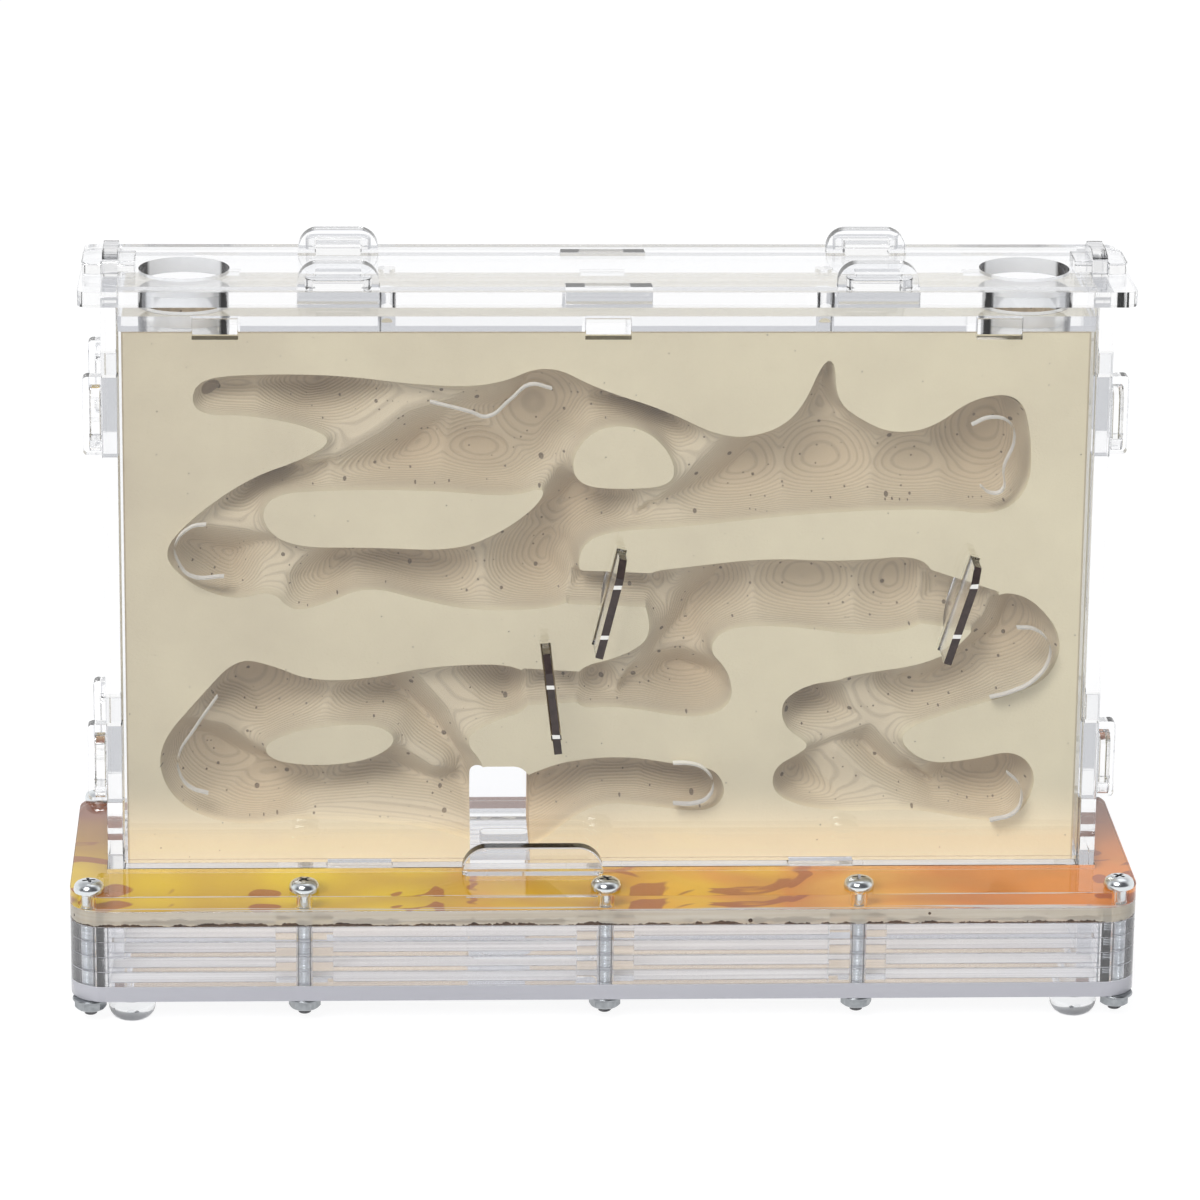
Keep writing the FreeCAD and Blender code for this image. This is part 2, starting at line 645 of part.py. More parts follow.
def front_panel():
    body = add_body("front_panel", 0, front_face, base_top)
    sketch = add_sketch(body, "XZ_Plane", "outline")
    wall_outline(sketch)
    wall_windows(sketch)
    for _, (x, z), lean in gate_layout:
        leaning_box(sketch, stretch_x * x, stretch_z * z, gate_thickness / 2 + gate_gap,
                    gate_height / 2 + gate_gap, lean)
    add_pad(body, sketch, panel_thickness, towards_normal=False)


def back_panel():
    body = add_body("back_panel", 0, back_face, base_top)
    sketch = add_sketch(body, "XZ_Plane", "outline")
    wall_outline(sketch)
    wall_windows(sketch)
    add_pad(body, sketch, panel_thickness)


def side_panel(name, side):
    """Side wall: it stands on the bottom plate, takes the ears of the panels and holds the lid."""
    inner_face = wall_inside if side > 0 else -wall_outside
    body = add_body(name, inner_face, nest_setback, base_top)
    sketch = add_sketch(body, "YZ_Plane", "outline")
    half_depth, half_ear = side_panel_depth / 2, end_ear_width / 2
    foot_level = chamber_floor - base_top
    outline(sketch, [
        (-half_depth, foot_level), (half_depth, foot_level),
        (half_depth, lid_level), (half_ear, lid_level),
        (half_ear, ear_top, ear_corner), (-half_ear, ear_top, ear_corner),
        (-half_ear, lid_level), (-half_depth, lid_level),
    ])
    box_outline(sketch, Size(0), lid_top + key_window / 2, neck_window, key_window / 2)
    box_outline(sketch, Size(0), -layer_thickness / 2, floor_tab_width / 2 + slot_gap,
                layer_thickness / 2 + slot_gap)
    wall_line = (nest_depth + panel_thickness) / 2
    for y in (-wall_line, wall_line):
        for low in (lower_ear, upper_ear):
            box_outline(sketch, y, low + wall_ear_height / 2, panel_thickness / 2 + slot_gap,
                        wall_ear_height / 2 + slot_gap)
    add_pad(body, sketch, panel_thickness)


def port_holes(sketch):
    for side in (-1, 1):
        circle(sketch, port_place * side, Size(0), port_radius)
        circle(sketch, vent_place * side, Size(0), vent_radius)


def ceiling_plate():
    """Clear plate on top of the plaster, with three tabs in each of the long panels."""
    body = add_body("ceiling_plate", 0, nest_setback, base_top + ceiling_level)
    sketch = add_sketch(body, "XY_Plane", "outline")
    half_length = wall_inside - slot_gap
    half_depth = nest_depth / 2 - slot_gap
    tab_line = nest_depth / 2 + panel_thickness
    front = [(-half_length, -half_depth)]
    for x in (-ceiling_tab_place, Size(0), ceiling_tab_place):
        left, right = x - ceiling_tab_width / 2, x + ceiling_tab_width / 2
        front += [(left, -half_depth), (left, -tab_line), (right, -tab_line),
                  (right, -half_depth)]
    front.append((half_length, -half_depth))
    outline(sketch, front + [(x, -y) for x, y in reversed(front)])
    port_holes(sketch)
    add_pad(body, sketch, panel_thickness)


def lid():
    """Lid over the four panels: their ears pass through it and the keys hold it down."""
    body = add_body("lid", 0, nest_setback, base_top + lid_level)
    sketch = add_sketch(body, "XY_Plane", "outline")
    box_outline(sketch, Size(0), Size(0), wall_outside + lid_overhang, lid_depth / 2, lid_corner)
    wall_line = (nest_depth + panel_thickness) / 2
    half_slot = panel_thickness / 2 + slot_gap
    for y in (-wall_line, wall_line):
        for x, width in ((-lid_ear_place, lid_ear_width), (Size(0), centre_tab_width),
                         (lid_ear_place, lid_ear_width)):
            box_outline(sketch, x, y, width / 2 + slot_gap, half_slot)
    for side in (-1, 1):
        box_outline(sketch, (wall_inside + panel_thickness / 2) * side, Size(0), half_slot,
                    end_ear_width / 2 + slot_gap)
    port_holes(sketch)
    add_pad(body, sketch, panel_thickness)


def plaster_nest():
    """Plaster block with its doorway, port bores, milled tunnels and the gates' kerfs."""
    body = add_body("plaster_nest", 0, plaster_face, base_top)
    block = add_sketch(body, "XZ_Plane", "block")
    half_length = wall_inside - plaster_gap
    left = passage_place - notch_width / 2
    right = passage_place + notch_width / 2
    outline(block, [
        (-half_length, Size(0)), (left, Size(0)), (left, notch_height, notch_corner),
        (right, notch_height, notch_corner), (right, Size(0)), (half_length, Size(0)),
        (half_length, nest_height), (-half_length, nest_height),
    ])
    add_pad(body, block, nest_depth, towards_normal=False)

    bores = add_sketch(body, "XY_Plane", "port_bores", nest_height)
    for side in (-1, 1):
        circle(bores, port_place * side, nest_depth / 2, port_radius + port_bore_gap)
    add_pocket(body, bores, nest_height - port_floor)

    step_count = 2
    for step in range(step_count):
        narrowing = tunnel_step.value * step
        milled = add_sketch(body, "XZ_Plane", f"tunnels_{step + 1}")
        for points, direction in [(p, 1) for p in TUNNELS] + [(p, -1) for p in ISLANDS]:
            placed = [(x * stretch_x.value, z * stretch_z.value) for x, z in points]
            freehand(milled, shifted_inwards(placed, narrowing * direction))
        add_pocket(body, milled, tunnel_depth * (step + 1) / step_count)

    corridors = add_sketch(body, "XZ_Plane", "corridors")
    for points in CORRIDORS:
        outline(corridors, [(stretch_x * x, stretch_z * z) for x, z in points])
    add_pocket(body, corridors, corridor_depth)

    kerfs = add_sketch(body, "XZ_Plane", "kerfs")
    for _, (x, z), lean in gate_layout:
        leaning_box(kerfs, stretch_x * x, stretch_z * z, gate_thickness / 2 + gate_gap,
                    gate_height / 2 + gate_gap, lean)
    add_pocket(body, kerfs, gate_reach - panel_thickness + kerf_floor_gap)


def key(name, x, y, z, rotation):
    """T-shaped key, its head towards its own -Y and its neck towards +Y."""
    body = add_body(name, x, y, z, rotation)
    sketch = add_sketch(body, "XY_Plane", "outline")
    half_head, half_neck = key_head_width / 2, key_neck_width / 2
    outline(sketch, [
        (-half_head, -key_head_depth, key_head_corner),
        (half_head, -key_head_depth, key_head_corner),
        (half_head, Size(0)), (half_neck, Size(0)),
        (half_neck, key_neck_depth), (-half_neck, key_neck_depth),
        (-half_neck, Size(0)), (-half_head, Size(0)),
    ])
    add_pad(body, sketch, key_thickness)


def lid_keys():
    """Six keys flat on the lid, pushed in from outside through the ears above it."""
    turn = FreeCAD.Rotation
    upright = FreeCAD.Vector(0, 0, 1)
    level = base_top + lid_top + key_gap
    for side_name, side in (("left", -1), ("right", 1)):
        key(f"lid_key_front_{side_name}", lid_ear_place * side, front_face - key_gap, level,
            turn(upright, 0))
        key(f"lid_key_back_{side_name}", lid_ear_place * side, back_face + key_gap, level,
            turn(upright, 180))
        key(f"lid_key_{side_name}", (wall_outside + key_gap) * side, nest_setback, level,
            turn(upright, 90 * side))


def wall_keys():
    """Eight keys flat on the side panels, pushed through the ears of the long panels."""
    on_edge = FreeCAD.Rotation(FreeCAD.Vector(0, 1, 0), 90)
    turned_round = FreeCAD.Rotation(FreeCAD.Vector(1, 0, 0), 180)
    rows = (("front", front_face - key_gap, on_edge),
            ("back", back_face + key_gap, turned_round * on_edge))
    for side_name, side in (("left", -1), ("right", 1)):
        near = wall_outside + key_gap
        inner = near if side > 0 else -near - key_thickness
        for row_name, y, rotation in rows:
            for level_name, low in (("lower", lower_ear), ("upper", upper_ear)):
                key(f"wall_key_{row_name}_{side_name}_{level_name}", inner, y,
                    base_top + low + wall_ear_height / 2, rotation)


def nest_gates():
    """Thin plates with a rounded inner end, leaning with the corridor that they close."""
    half_height = gate_height / 2
    for name, (x, z), lean in gate_layout:
        rotation = FreeCAD.Rotation(FreeCAD.Vector(0, 1, 0), lean.value)
        body = add_body(name, stretch_x * x, front_face, base_top + stretch_z * z, rotation)
        bind(body, "Placement.Rotation.Angle", lean)
        sketch = add_sketch(body, "YZ_Plane", "outline", -gate_thickness / 2)
        outline(sketch, [
            (-gate_proud, -half_height), (gate_reach, -half_height, gate_end_round),
            (gate_reach, half_height, gate_end_round),
            (gate_chamfer - gate_proud, half_height), (-gate_proud, half_height - gate_chamfer),
        ])
        add_pad(body, sketch, gate_thickness)


def passage_gate():
    """Upright gate: its shoulders rest on the printed plate, its blade hangs in the chamber."""
    body = add_body("passage_gate", passage_gate_place, passage_gate_face, base_top)
    sketch = add_sketch(body, "XZ_Plane", "outline")
    half_grip, half_blade = grip_width / 2, blade_width / 2
    outline(sketch, [
        (-half_grip, Size(0)), (-half_blade, Size(0)), (-half_blade, -blade_depth, blade_corner),
        (half_blade, -blade_depth, blade_corner), (half_blade, Size(0)), (half_grip, Size(0)),
        (half_grip, grip_height, grip_corner), (-half_grip, grip_height, grip_corner),
    ])
    add_pad(body, sketch, panel_thickness, towards_normal=False)


def check_and_write():
    """Checks every feature and shape, then writes each sub-part to its own file."""
    doc.recompute()
    for item in doc.Objects:
        if "Invalid" in item.State or "Error" in item.State:
            raise RuntimeError(f"{item.Label} failed: {item.State}")
    for body in parts:
        if body.Shape.isNull() or not body.Shape.isValid():
            raise RuntimeError(f"{body.Label} has no valid shape")
    os.makedirs("parts", exist_ok=True)
    for body in parts:
        body.Shape.exportStep(f"parts/{body.Label}.step")


doc.recompute()
foot_x = base_length / 2 - foot_end_inset
foot_y = base_depth / 2 - foot_side_inset
for row_name, row in (("front", -1), ("back", 1)):
    for side_name, side in (("left", -1), ("right", 1)):
        foot(f"foot_{row_name}_{side_name}", foot_x * side, foot_y * row)
bottom_plate()
for ring_number in range(1, RING_COUNT + 1):
    base_ring(ring_number)
printed_plate()
clamp_screws()
clamp_nuts()
floor_plate()
front_panel()
back_panel()
side_panel("left_panel", -1)
side_panel("right_panel", 1)
ceiling_plate()
lid()
plaster_nest()
lid_keys()
wall_keys()
nest_gates()
passage_gate()
check_and_write()
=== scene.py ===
import math
import random

import bpy
import numpy as np
from mathutils import Matrix, Vector


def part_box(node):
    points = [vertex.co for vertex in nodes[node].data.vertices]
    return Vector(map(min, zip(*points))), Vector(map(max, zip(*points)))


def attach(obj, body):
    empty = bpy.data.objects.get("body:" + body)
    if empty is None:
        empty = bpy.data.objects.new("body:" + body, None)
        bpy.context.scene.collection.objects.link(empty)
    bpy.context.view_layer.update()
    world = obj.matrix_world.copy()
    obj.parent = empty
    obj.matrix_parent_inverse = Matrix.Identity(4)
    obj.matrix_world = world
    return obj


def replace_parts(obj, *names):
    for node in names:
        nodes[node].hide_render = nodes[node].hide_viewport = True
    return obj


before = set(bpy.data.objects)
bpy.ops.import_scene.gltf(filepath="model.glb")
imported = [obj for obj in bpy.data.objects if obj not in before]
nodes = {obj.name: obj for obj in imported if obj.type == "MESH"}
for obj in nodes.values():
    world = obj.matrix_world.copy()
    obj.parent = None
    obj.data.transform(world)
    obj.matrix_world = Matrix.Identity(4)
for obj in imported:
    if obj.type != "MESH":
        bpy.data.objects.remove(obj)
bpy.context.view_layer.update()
scene = bpy.context.scene
bpy.ops.object.select_all(action="DESELECT")


# ---- Camera ----
# A long lens stands well back, a little left of the middle and above the lid,
# so that upright edges stay upright and the lid's top is only just seen.
MM = 0.001
eye = Vector((-67.3, -1395.5, 530.6)) * MM
yaw, pitch, roll = math.radians(-2.733), math.radians(17.127), math.radians(0.671)
forward = Vector((-math.sin(yaw) * math.cos(pitch), math.cos(yaw) * math.cos(pitch), -math.sin(pitch)))
level_right = forward.cross(Vector((0, 0, 1))).normalized()
level_up = level_right.cross(forward)
right = level_right * math.cos(roll) + level_up * math.sin(roll)
up = level_up * math.cos(roll) - level_right * math.sin(roll)
lens = bpy.data.cameras.new("long_lens")
lens.lens = 172.2
lens.sensor_width = 36
camera = bpy.data.objects.new("camera", lens)
scene.collection.objects.link(camera)
camera.matrix_world = Matrix.Translation(eye) @ Matrix((right, up, -forward)).transposed().to_4x4()
scene.camera = camera
scene.view_settings.view_transform = "Standard"


# ---- Studio ----
# A white sweep under soft lamps: what the eye and the clear sheets see of it is plain white,
# and it lights the plaster at a level at which its colour comes out as it is.
def add_node(tree, kind, inputs=None, **settings):
    """Adds a shader node; an input is a value or the socket that feeds it."""
    made = tree.nodes.new(kind)
    for key, value in settings.items():
        setattr(made, key, value)
    for key, value in (inputs or {}).items():
        if isinstance(value, bpy.types.NodeSocket):
            tree.links.new(value, made.inputs[key])
        else:
            made.inputs[key].default_value = value
    return made


def maths(tree, operation, *values):
    """The result of one sum of the shader's."""
    return add_node(tree, "ShaderNodeMath", dict(enumerate(values)), operation=operation).outputs[0]


def mix_colours(tree, share, first, second):
    """A colour that goes from the first to the second with a share."""
    return add_node(tree, "ShaderNodeMix", {"Factor": share, "A": first, "B": second},
                    data_type="RGBA").outputs["Result"]


def rescale(tree, value, start, end, low=0.0, high=1.0, softly=False):
    """Turns start to end into low to high, and holds it there beyond them."""
    return add_node(tree, "ShaderNodeMapRange",
                    {"Value": value, "From Min": start, "From Max": end, "To Min": low, "To Max": high},
                    interpolation_type="SMOOTHSTEP" if softly else "LINEAR").outputs[0]


def seen_directly(tree):
    """1 for rays that carry a picture: from the eye, a mirror or through glass."""
    path = add_node(tree, "ShaderNodeLightPath").outputs
    glossy_too = maths(tree, "MAXIMUM", path["Is Camera Ray"], path["Is Glossy Ray"])
    return maths(tree, "MAXIMUM", glossy_too, path["Is Transmission Ray"])


studio = bpy.data.worlds.new("studio")
scene.world = studio
studio.use_nodes = True
sky = studio.node_tree
sky.nodes.clear()
soft_light = add_node(sky, "ShaderNodeBackground", {"Color": (0.97, 0.985, 1, 1), "Strength": 0.50})
way_up = add_node(sky, "ShaderNodeSeparateXYZ",
                  {0: add_node(sky, "ShaderNodeTexCoord").outputs["Generated"]})
height = rescale(sky, way_up.outputs[2], 0.40, 0.80, softly=True)
wall_tone = mix_colours(sky, height, (1, 1, 1, 1), (0.60, 0.60, 0.62, 1))
behind_eye = rescale(sky, way_up.outputs[1], -0.10, -0.45)
sky_path = add_node(sky, "ShaderNodeLightPath").outputs
mirrored = maths(sky, "MULTIPLY", behind_eye, sky_path["Is Glossy Ray"])
through = rescale(sky, sky_path["Is Transmission Ray"], 0.0, 1.0, 1.0, 0.45)
in_mirrors = maths(sky, "MULTIPLY", mirrored, through)
room_tone = mix_colours(sky, in_mirrors, wall_tone, (0.10, 0.10, 0.11, 1))
white_wall = add_node(sky, "ShaderNodeBackground", {"Color": room_tone, "Strength": 1.0})
chosen = add_node(sky, "ShaderNodeMixShader",
                  {0: seen_directly(sky), 1: soft_light.outputs[0], 2: white_wall.outputs[0]})
add_node(sky, "ShaderNodeOutputWorld", {"Surface": chosen.outputs[0]})

bpy.ops.mesh.primitive_plane_add(size=12, location=(0, 2, 0))
sweep = bpy.context.object
sweep.name = "sweep"
white_sweep = bpy.data.materials.new("white_sweep")
white_sweep.use_nodes = True
tree = white_sweep.node_tree
tree.nodes.clear()
matt = add_node(tree, "ShaderNodeBsdfDiffuse", {"Color": (0.20, 0.20, 0.205, 1)})
dim = add_node(tree, "ShaderNodeBsdfDiffuse", {"Color": (0.72, 0.72, 0.73, 1)})
glow = add_node(tree, "ShaderNodeEmission", {"Color": (1, 1, 1, 1), "Strength": 0.90})
lit = add_node(tree, "ShaderNodeAddShader", {0: matt.outputs[0], 1: glow.outputs[0]})
by_ray = add_node(tree, "ShaderNodeMixShader",
                  {0: seen_directly(tree), 1: dim.outputs[0], 2: lit.outputs[0]})
add_node(tree, "ShaderNodeOutputMaterial", {"Surface": by_ray.outputs[0]})
sweep.data.materials.append(white_sweep)


def add_lamp(name, place, aim, width, power):
    """A square soft box at a place, turned towards a point."""
    lamp = bpy.data.lights.new(name, "AREA")
    lamp.size = width
    lamp.energy = power
    holder = bpy.data.objects.new(name, lamp)
    scene.collection.objects.link(holder)
    holder.matrix_world = Matrix.Translation(place) @ (Vector(aim) - Vector(place)).to_track_quat(
        "-Z", "Y").to_matrix().to_4x4()


add_lamp("key_lamp", (-0.8, -1.8, 1.75), (0, 0, 0.1), 1.2, 38)
add_lamp("top_lamp", (0.5, 0.5, 2.2), (0, 0, 0.1), 1.6, 6)


# ---- Clear rubber feet ----
# Four soft clear bumpers, moulded as low domes with a flat sole, stuck under the corners of the
# bottom plate. Light runs round inside them, so they look silvery.
def shader_of(name):
    """A new material; returns it with its tree and its shader."""
    material = bpy.data.materials.new(name)
    material.use_nodes = True
    return material, material.node_tree, material.node_tree.nodes["Principled BSDF"]


def set_inputs(shader, values):
    """Sets the values that are the same all over a surface."""
    for key, value in values.items():
        shader.inputs[key].default_value = value


MOST_BOUNCES = 6


def let_light_through(tree, shader, colour):
    """Lets soft light and shadows pass a clear piece, and ends a ray lost between its faces in a painted pale
    grey glow.
    """
    path = add_node(tree, "ShaderNodeLightPath").outputs
    soft = maths(tree, "MAXIMUM", path["Is Shadow Ray"], path["Is Diffuse Ray"])
    passing = add_node(tree, "ShaderNodeBsdfTransparent", {"Color": colour})
    ray_spent = maths(tree, "GREATER_THAN", path["Ray Depth"], MOST_BOUNCES)
    grey_light = add_node(tree, "ShaderNodeEmission", {"Color": (0.60, 0.61, 0.635, 1)})
    ended = add_node(tree, "ShaderNodeMixShader",
                     {0: ray_spent, 1: shader.outputs[0], 2: grey_light.outputs[0]})
    mix = add_node(tree, "ShaderNodeMixShader", {0: soft, 1: ended.outputs[0], 2: passing.outputs[0]})
    tree.links.new(mix.outputs[0], tree.nodes["Material Output"].inputs["Surface"])


def object_coordinates(tree):
    """Places on a piece, measured in metres from the frame's origin."""
    return add_node(tree, "ShaderNodeTexCoord").outputs["Object"]


def noise(tree, place, scale, detail, roughness=0.5, distortion=0.0):
    """Cloudy unevenness, about 0.5 on average."""
    return add_node(tree, "ShaderNodeTexNoise",
                    {"Vector": place, "Scale": scale, "Detail": detail, "Roughness": roughness,
                     "Distortion": distortion}).outputs["Fac"]


def new_group(name, going_in, coming_out):
    """A group of shader nodes with named sockets; returns it with what is given to it."""
    group = bpy.data.node_groups.new(name, "ShaderNodeTree")
    for way, sockets in (("INPUT", going_in), ("OUTPUT", coming_out)):
        for socket, kind in sockets.items():
            group.interface.new_socket(socket, in_out=way, socket_type="NodeSocket" + kind)
    return group, add_node(group, "NodeGroupInput").outputs


# Hardly a surface of the habitat is quite even: its tone or its gloss is mottled.
mottle, given = new_group("mottle", {"Place": "Vector", "Scale": "Float", "Detail": "Float",
                                     "Dark Tone": "Color", "Pale Tone": "Color"},
                          {"Tone": "Color", "Unevenness": "Float"})
unevenness = noise(mottle, given["Place"], given["Scale"], given["Detail"])
tone = mix_colours(mottle, unevenness, given["Dark Tone"], given["Pale Tone"])
add_node(mottle, "NodeGroupOutput", {"Tone": tone, "Unevenness": unevenness})


def mottled(tree, scale, detail, dark=(0, 0, 0, 1), pale=(1, 1, 1, 1)):
    """Places the mottle in a material; gives its tone and its bare unevenness."""
    return add_node(tree, "ShaderNodeGroup",
                    {"Place": object_coordinates(tree), "Scale": scale, "Detail": detail,
                     "Dark Tone": dark, "Pale Tone": pale}, node_tree=mottle).outputs


def pick_up(piece):
    """Selects one piece and nothing else, for the operators that follow."""
    bpy.ops.object.select_all(action="DESELECT")
    piece.select_set(True)
    bpy.context.view_layer.objects.active = piece


def turn_profile(name, profile, x, y, steps=48):
    """A turned solid on an upright axis; its profile is (radius, height) from the top to the bottom."""
    bpy.ops.mesh.primitive_circle_add(vertices=steps, radius=profile[0][0] * MM, fill_type="NGON",
                                      location=(x * MM, y * MM, profile[0][1] * MM))
    solid = bpy.context.object
    solid.name = name
    bpy.ops.object.mode_set(mode="EDIT")
    bpy.ops.mesh.select_all(action="SELECT")
    for (radius, height), (next_radius, next_height) in zip(profile, profile[1:]):
        bpy.ops.mesh.extrude_region_move(
            TRANSFORM_OT_translate={"value": (0, 0, (next_height - height) * MM)})
        factor = next_radius / radius
        bpy.ops.transform.resize(value=(factor, factor, 1))
    bpy.ops.mesh.select_all(action="SELECT")
    bpy.ops.mesh.normals_make_consistent(inside=False)
    bpy.ops.object.mode_set(mode="OBJECT")
    settle(solid)
    return solid


def settle(piece):
    """Puts a piece's place into its mesh, so that its object stands at the origin."""
    pick_up(piece)
    bpy.ops.object.transform_apply(location=True, rotation=True, scale=True)


FLAT_FACE = 12 * MM ** 2


def smooth(piece, degrees=32):
    """Shades the rounded parts smooth; a wide flat face stays flat, so that light passes it unbent."""
    pick_up(piece)
    bpy.ops.object.shade_smooth_by_angle(angle=math.radians(degrees))
    for polygon in piece.data.polygons:
        if polygon.area > FLAT_FACE:
            polygon.use_smooth = False


clear_rubber, tree, shader = shader_of("clear_rubber")
set_inputs(shader, {"Base Color": (0.90, 0.91, 0.92, 1), "Transmission Weight": 1.0, "IOR": 1.45})
haze = mottled(tree, 420.0, 3.0)["Unevenness"]
rough = rescale(tree, haze, 0.0, 1.0, 0.04, 0.16)
tree.links.new(rough, shader.inputs["Roughness"])
let_light_through(tree, shader, (0.86, 0.87, 0.88, 1))
for corner in ("front_left", "front_right", "back_left", "back_right"):
    low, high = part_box("foot_" + corner)
    middle = (Vector(low) + Vector(high)) / 2
    foot = turn_profile("rubber_foot_" + corner,
                        [(5.4, 6.46), (5.95, 6.2), (6.0, 5.6), (6.0, 3.9), (5.85, 2.9), (5.45, 1.9),
                         (4.8, 1.0), (3.9, 0.4), (3.0, 0.08), (2.4, 0.0)],
                        middle[0] / MM, middle[1] / MM)
    foot.data.materials.append(clear_rubber)
    smooth(foot, 40)
    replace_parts(foot, "foot_" + corner)
    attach(foot, "body")


# ---- Milky bottom plate ----
# One 4 mm sheet of milky acrylic, laser cut like the rings above it, with its edges eased;
# it carries the whole stack and the feet.
AXES = {"x": 0, "y": 1, "z": 2}


def copy_of(node, name):
    """A copy of a part of the frame as one closed mesh, to be finished."""
    piece = bpy.data.objects.new(name, nodes[node].data.copy())
    scene.collection.objects.link(piece)
    piece.data.materials.clear()
    pick_up(piece)
    bpy.ops.object.mode_set(mode="EDIT")
    bpy.ops.mesh.select_all(action="SELECT")
    bpy.ops.mesh.remove_doubles(threshold=0.002 * MM)
    bpy.ops.object.mode_set(mode="OBJECT")
    return piece


def merge_flats(piece):
    """Joins the flat triangles of a face into one face."""
    pick_up(piece)
    bpy.ops.object.mode_set(mode="EDIT")
    bpy.ops.mesh.select_all(action="SELECT")
    bpy.ops.mesh.dissolve_limited(angle_limit=math.radians(0.6), delimit={"MATERIAL"})
    bpy.ops.object.mode_set(mode="OBJECT")


def draw_in(piece, axis, hair):
    """Draws the two faces of a sheet in by a hair, so that stacked sheets keep their air gap."""
    along = AXES[axis]
    corners = piece.data.vertices
    low = min(v.co[along] for v in corners)
    high = max(v.co[along] for v in corners)
    for v in corners:
        if v.co[along] < low + 0.3 * MM:
            v.co[along] += hair
        elif v.co[along] > high - 0.3 * MM:
            v.co[along] -= hair


def ease_edges(piece, width, rounds=1):
    """Takes the sharpness off a piece's edges."""
    bevel = piece.modifiers.new("eased", "BEVEL")
    bevel.width = width
    bevel.segments = rounds
    bevel.limit_method = "ANGLE"
    bevel.angle_limit = math.radians(50)
    bevel.use_clamp_overlap = True
    pick_up(piece)
    bpy.ops.object.modifier_apply(modifier="eased")


milky, tree, shader = shader_of("milky_sheet")
milk = mottled(tree, 16.0, 2.0, (0.50, 0.50, 0.55, 1), (0.56, 0.56, 0.60, 1))
tree.links.new(milk["Tone"], shader.inputs["Base Color"])
set_inputs(shader,
           {"Roughness": 0.22, "Subsurface Weight": 0.35, "Subsurface Radius": (0.006, 0.006, 0.006)})
# The broad faces get a paler copy of the milky finish: painted light, standing in for the floor's light that
# shines up through the sheet.
milky_face_painted_light, tree, shader = shader_of("milky_sheet_face_painted_light")
milk = mottled(tree, 16.0, 2.0, (0.87, 0.87, 0.91, 1), (0.92, 0.92, 0.95, 1))
tree.links.new(milk["Tone"], shader.inputs["Base Color"])
set_inputs(shader, {"Roughness": 0.3})
bottom = copy_of("bottom_plate", "milky_bottom_plate")
bottom.data.materials.append(milky)
bottom.data.materials.append(milky_face_painted_light)
merge_flats(bottom)
draw_in(bottom, "z", 0.04 * MM)
ease_edges(bottom, 0.35 * MM, 2)
for polygon in bottom.data.polygons:
    polygon.material_index = int(abs(polygon.normal.z) > 0.9)
smooth(bottom)
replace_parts(bottom, "bottom_plate")
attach(bottom, "body")


# ---- Base rings ----
# Five open rings of 4 mm clear acrylic, laser cut with a boss round each screw and stacked
# with a thin air gap between them, so that each joint shows as a fine line.
# Cut edges and rubbed faces have a grain that is drawn out along them.
drawn_grain, given = new_group("drawn_out_grain", {"Place": "Vector", "Stretch": "Vector", "Detail": "Float"},
                               {"Grain": "Float"})
stretched = add_node(drawn_grain, "ShaderNodeMapping", {"Vector": given["Place"], "Scale": given["Stretch"]})
drawn_out = noise(drawn_grain, stretched.outputs[0], 1.0, given["Detail"])
add_node(drawn_grain, "NodeGroupOutput", {"Grain": drawn_out})


def grain_along(tree, stretch, detail):
    """Places the drawn-out grain in a material, stretched less along its own way."""
    return add_node(tree, "ShaderNodeGroup",
                    {"Place": object_coordinates(tree), "Stretch": stretch, "Detail": detail},
                    node_tree=drawn_grain).outputs["Grain"]


def cut_edge(axis):
    """A laser-cut edge of a sheet: fine ridges run across its thickness and scatter the light."""
    material, tree, shader = shader_of("cut_edge_" + axis)
    set_inputs(shader, {"Base Color": (0.965, 0.965, 0.965, 1), "Transmission Weight": 1.0, "IOR": 1.49})
    stretch = [1500.0, 1500.0, 1500.0]
    stretch[AXES[axis]] = 60.0
    ridge = grain_along(tree, stretch, 2.0)
    bump = add_node(tree, "ShaderNodeBump", {"Height": ridge, "Strength": 0.10, "Distance": 0.0002})
    tree.links.new(bump.outputs[0], shader.inputs["Normal"])
    rough = rescale(tree, ridge, 0.0, 1.0, 0.0, 0.14)
    tree.links.new(rough, shader.inputs["Roughness"])
    let_light_through(tree, shader, (0.97, 0.972, 0.975, 1))
    return material


# The sheets' faces are polished, with the faint waviness of cast acrylic.
clear, tree, shader = shader_of("clear_sheet")
set_inputs(shader, {"Base Color": (0.985, 0.988, 0.995, 1), "Transmission Weight": 1.0, "IOR": 1.49})
wave = mottled(tree, 26.0, 1.0)["Unevenness"]
scuff = mottled(tree, 900.0, 2.0)["Unevenness"]
rough = rescale(tree, scuff, 0.55, 0.8, 0.0, 0.03)
tree.links.new(rough, shader.inputs["Roughness"])
bump = add_node(tree, "ShaderNodeBump", {"Height": wave, "Strength": 0.02, "Distance": 0.0001})
tree.links.new(bump.outputs[0], shader.inputs["Normal"])
let_light_through(tree, shader, (0.99, 0.992, 0.995, 1))
edges = {axis: cut_edge(axis) for axis in "xyz"}


def cut_away(piece, cutter):
    """Cuts one solid out of another and removes the cutter; its finish stays on the cut."""
    cut = piece.modifiers.new("cut", "BOOLEAN")
    cut.operation = "DIFFERENCE"
    cut.solver = "EXACT"
    cut.material_mode = "TRANSFER"
    cut.object = cutter
    pick_up(piece)
    bpy.ops.object.modifier_apply(modifier="cut")
    bpy.data.objects.remove(cutter)


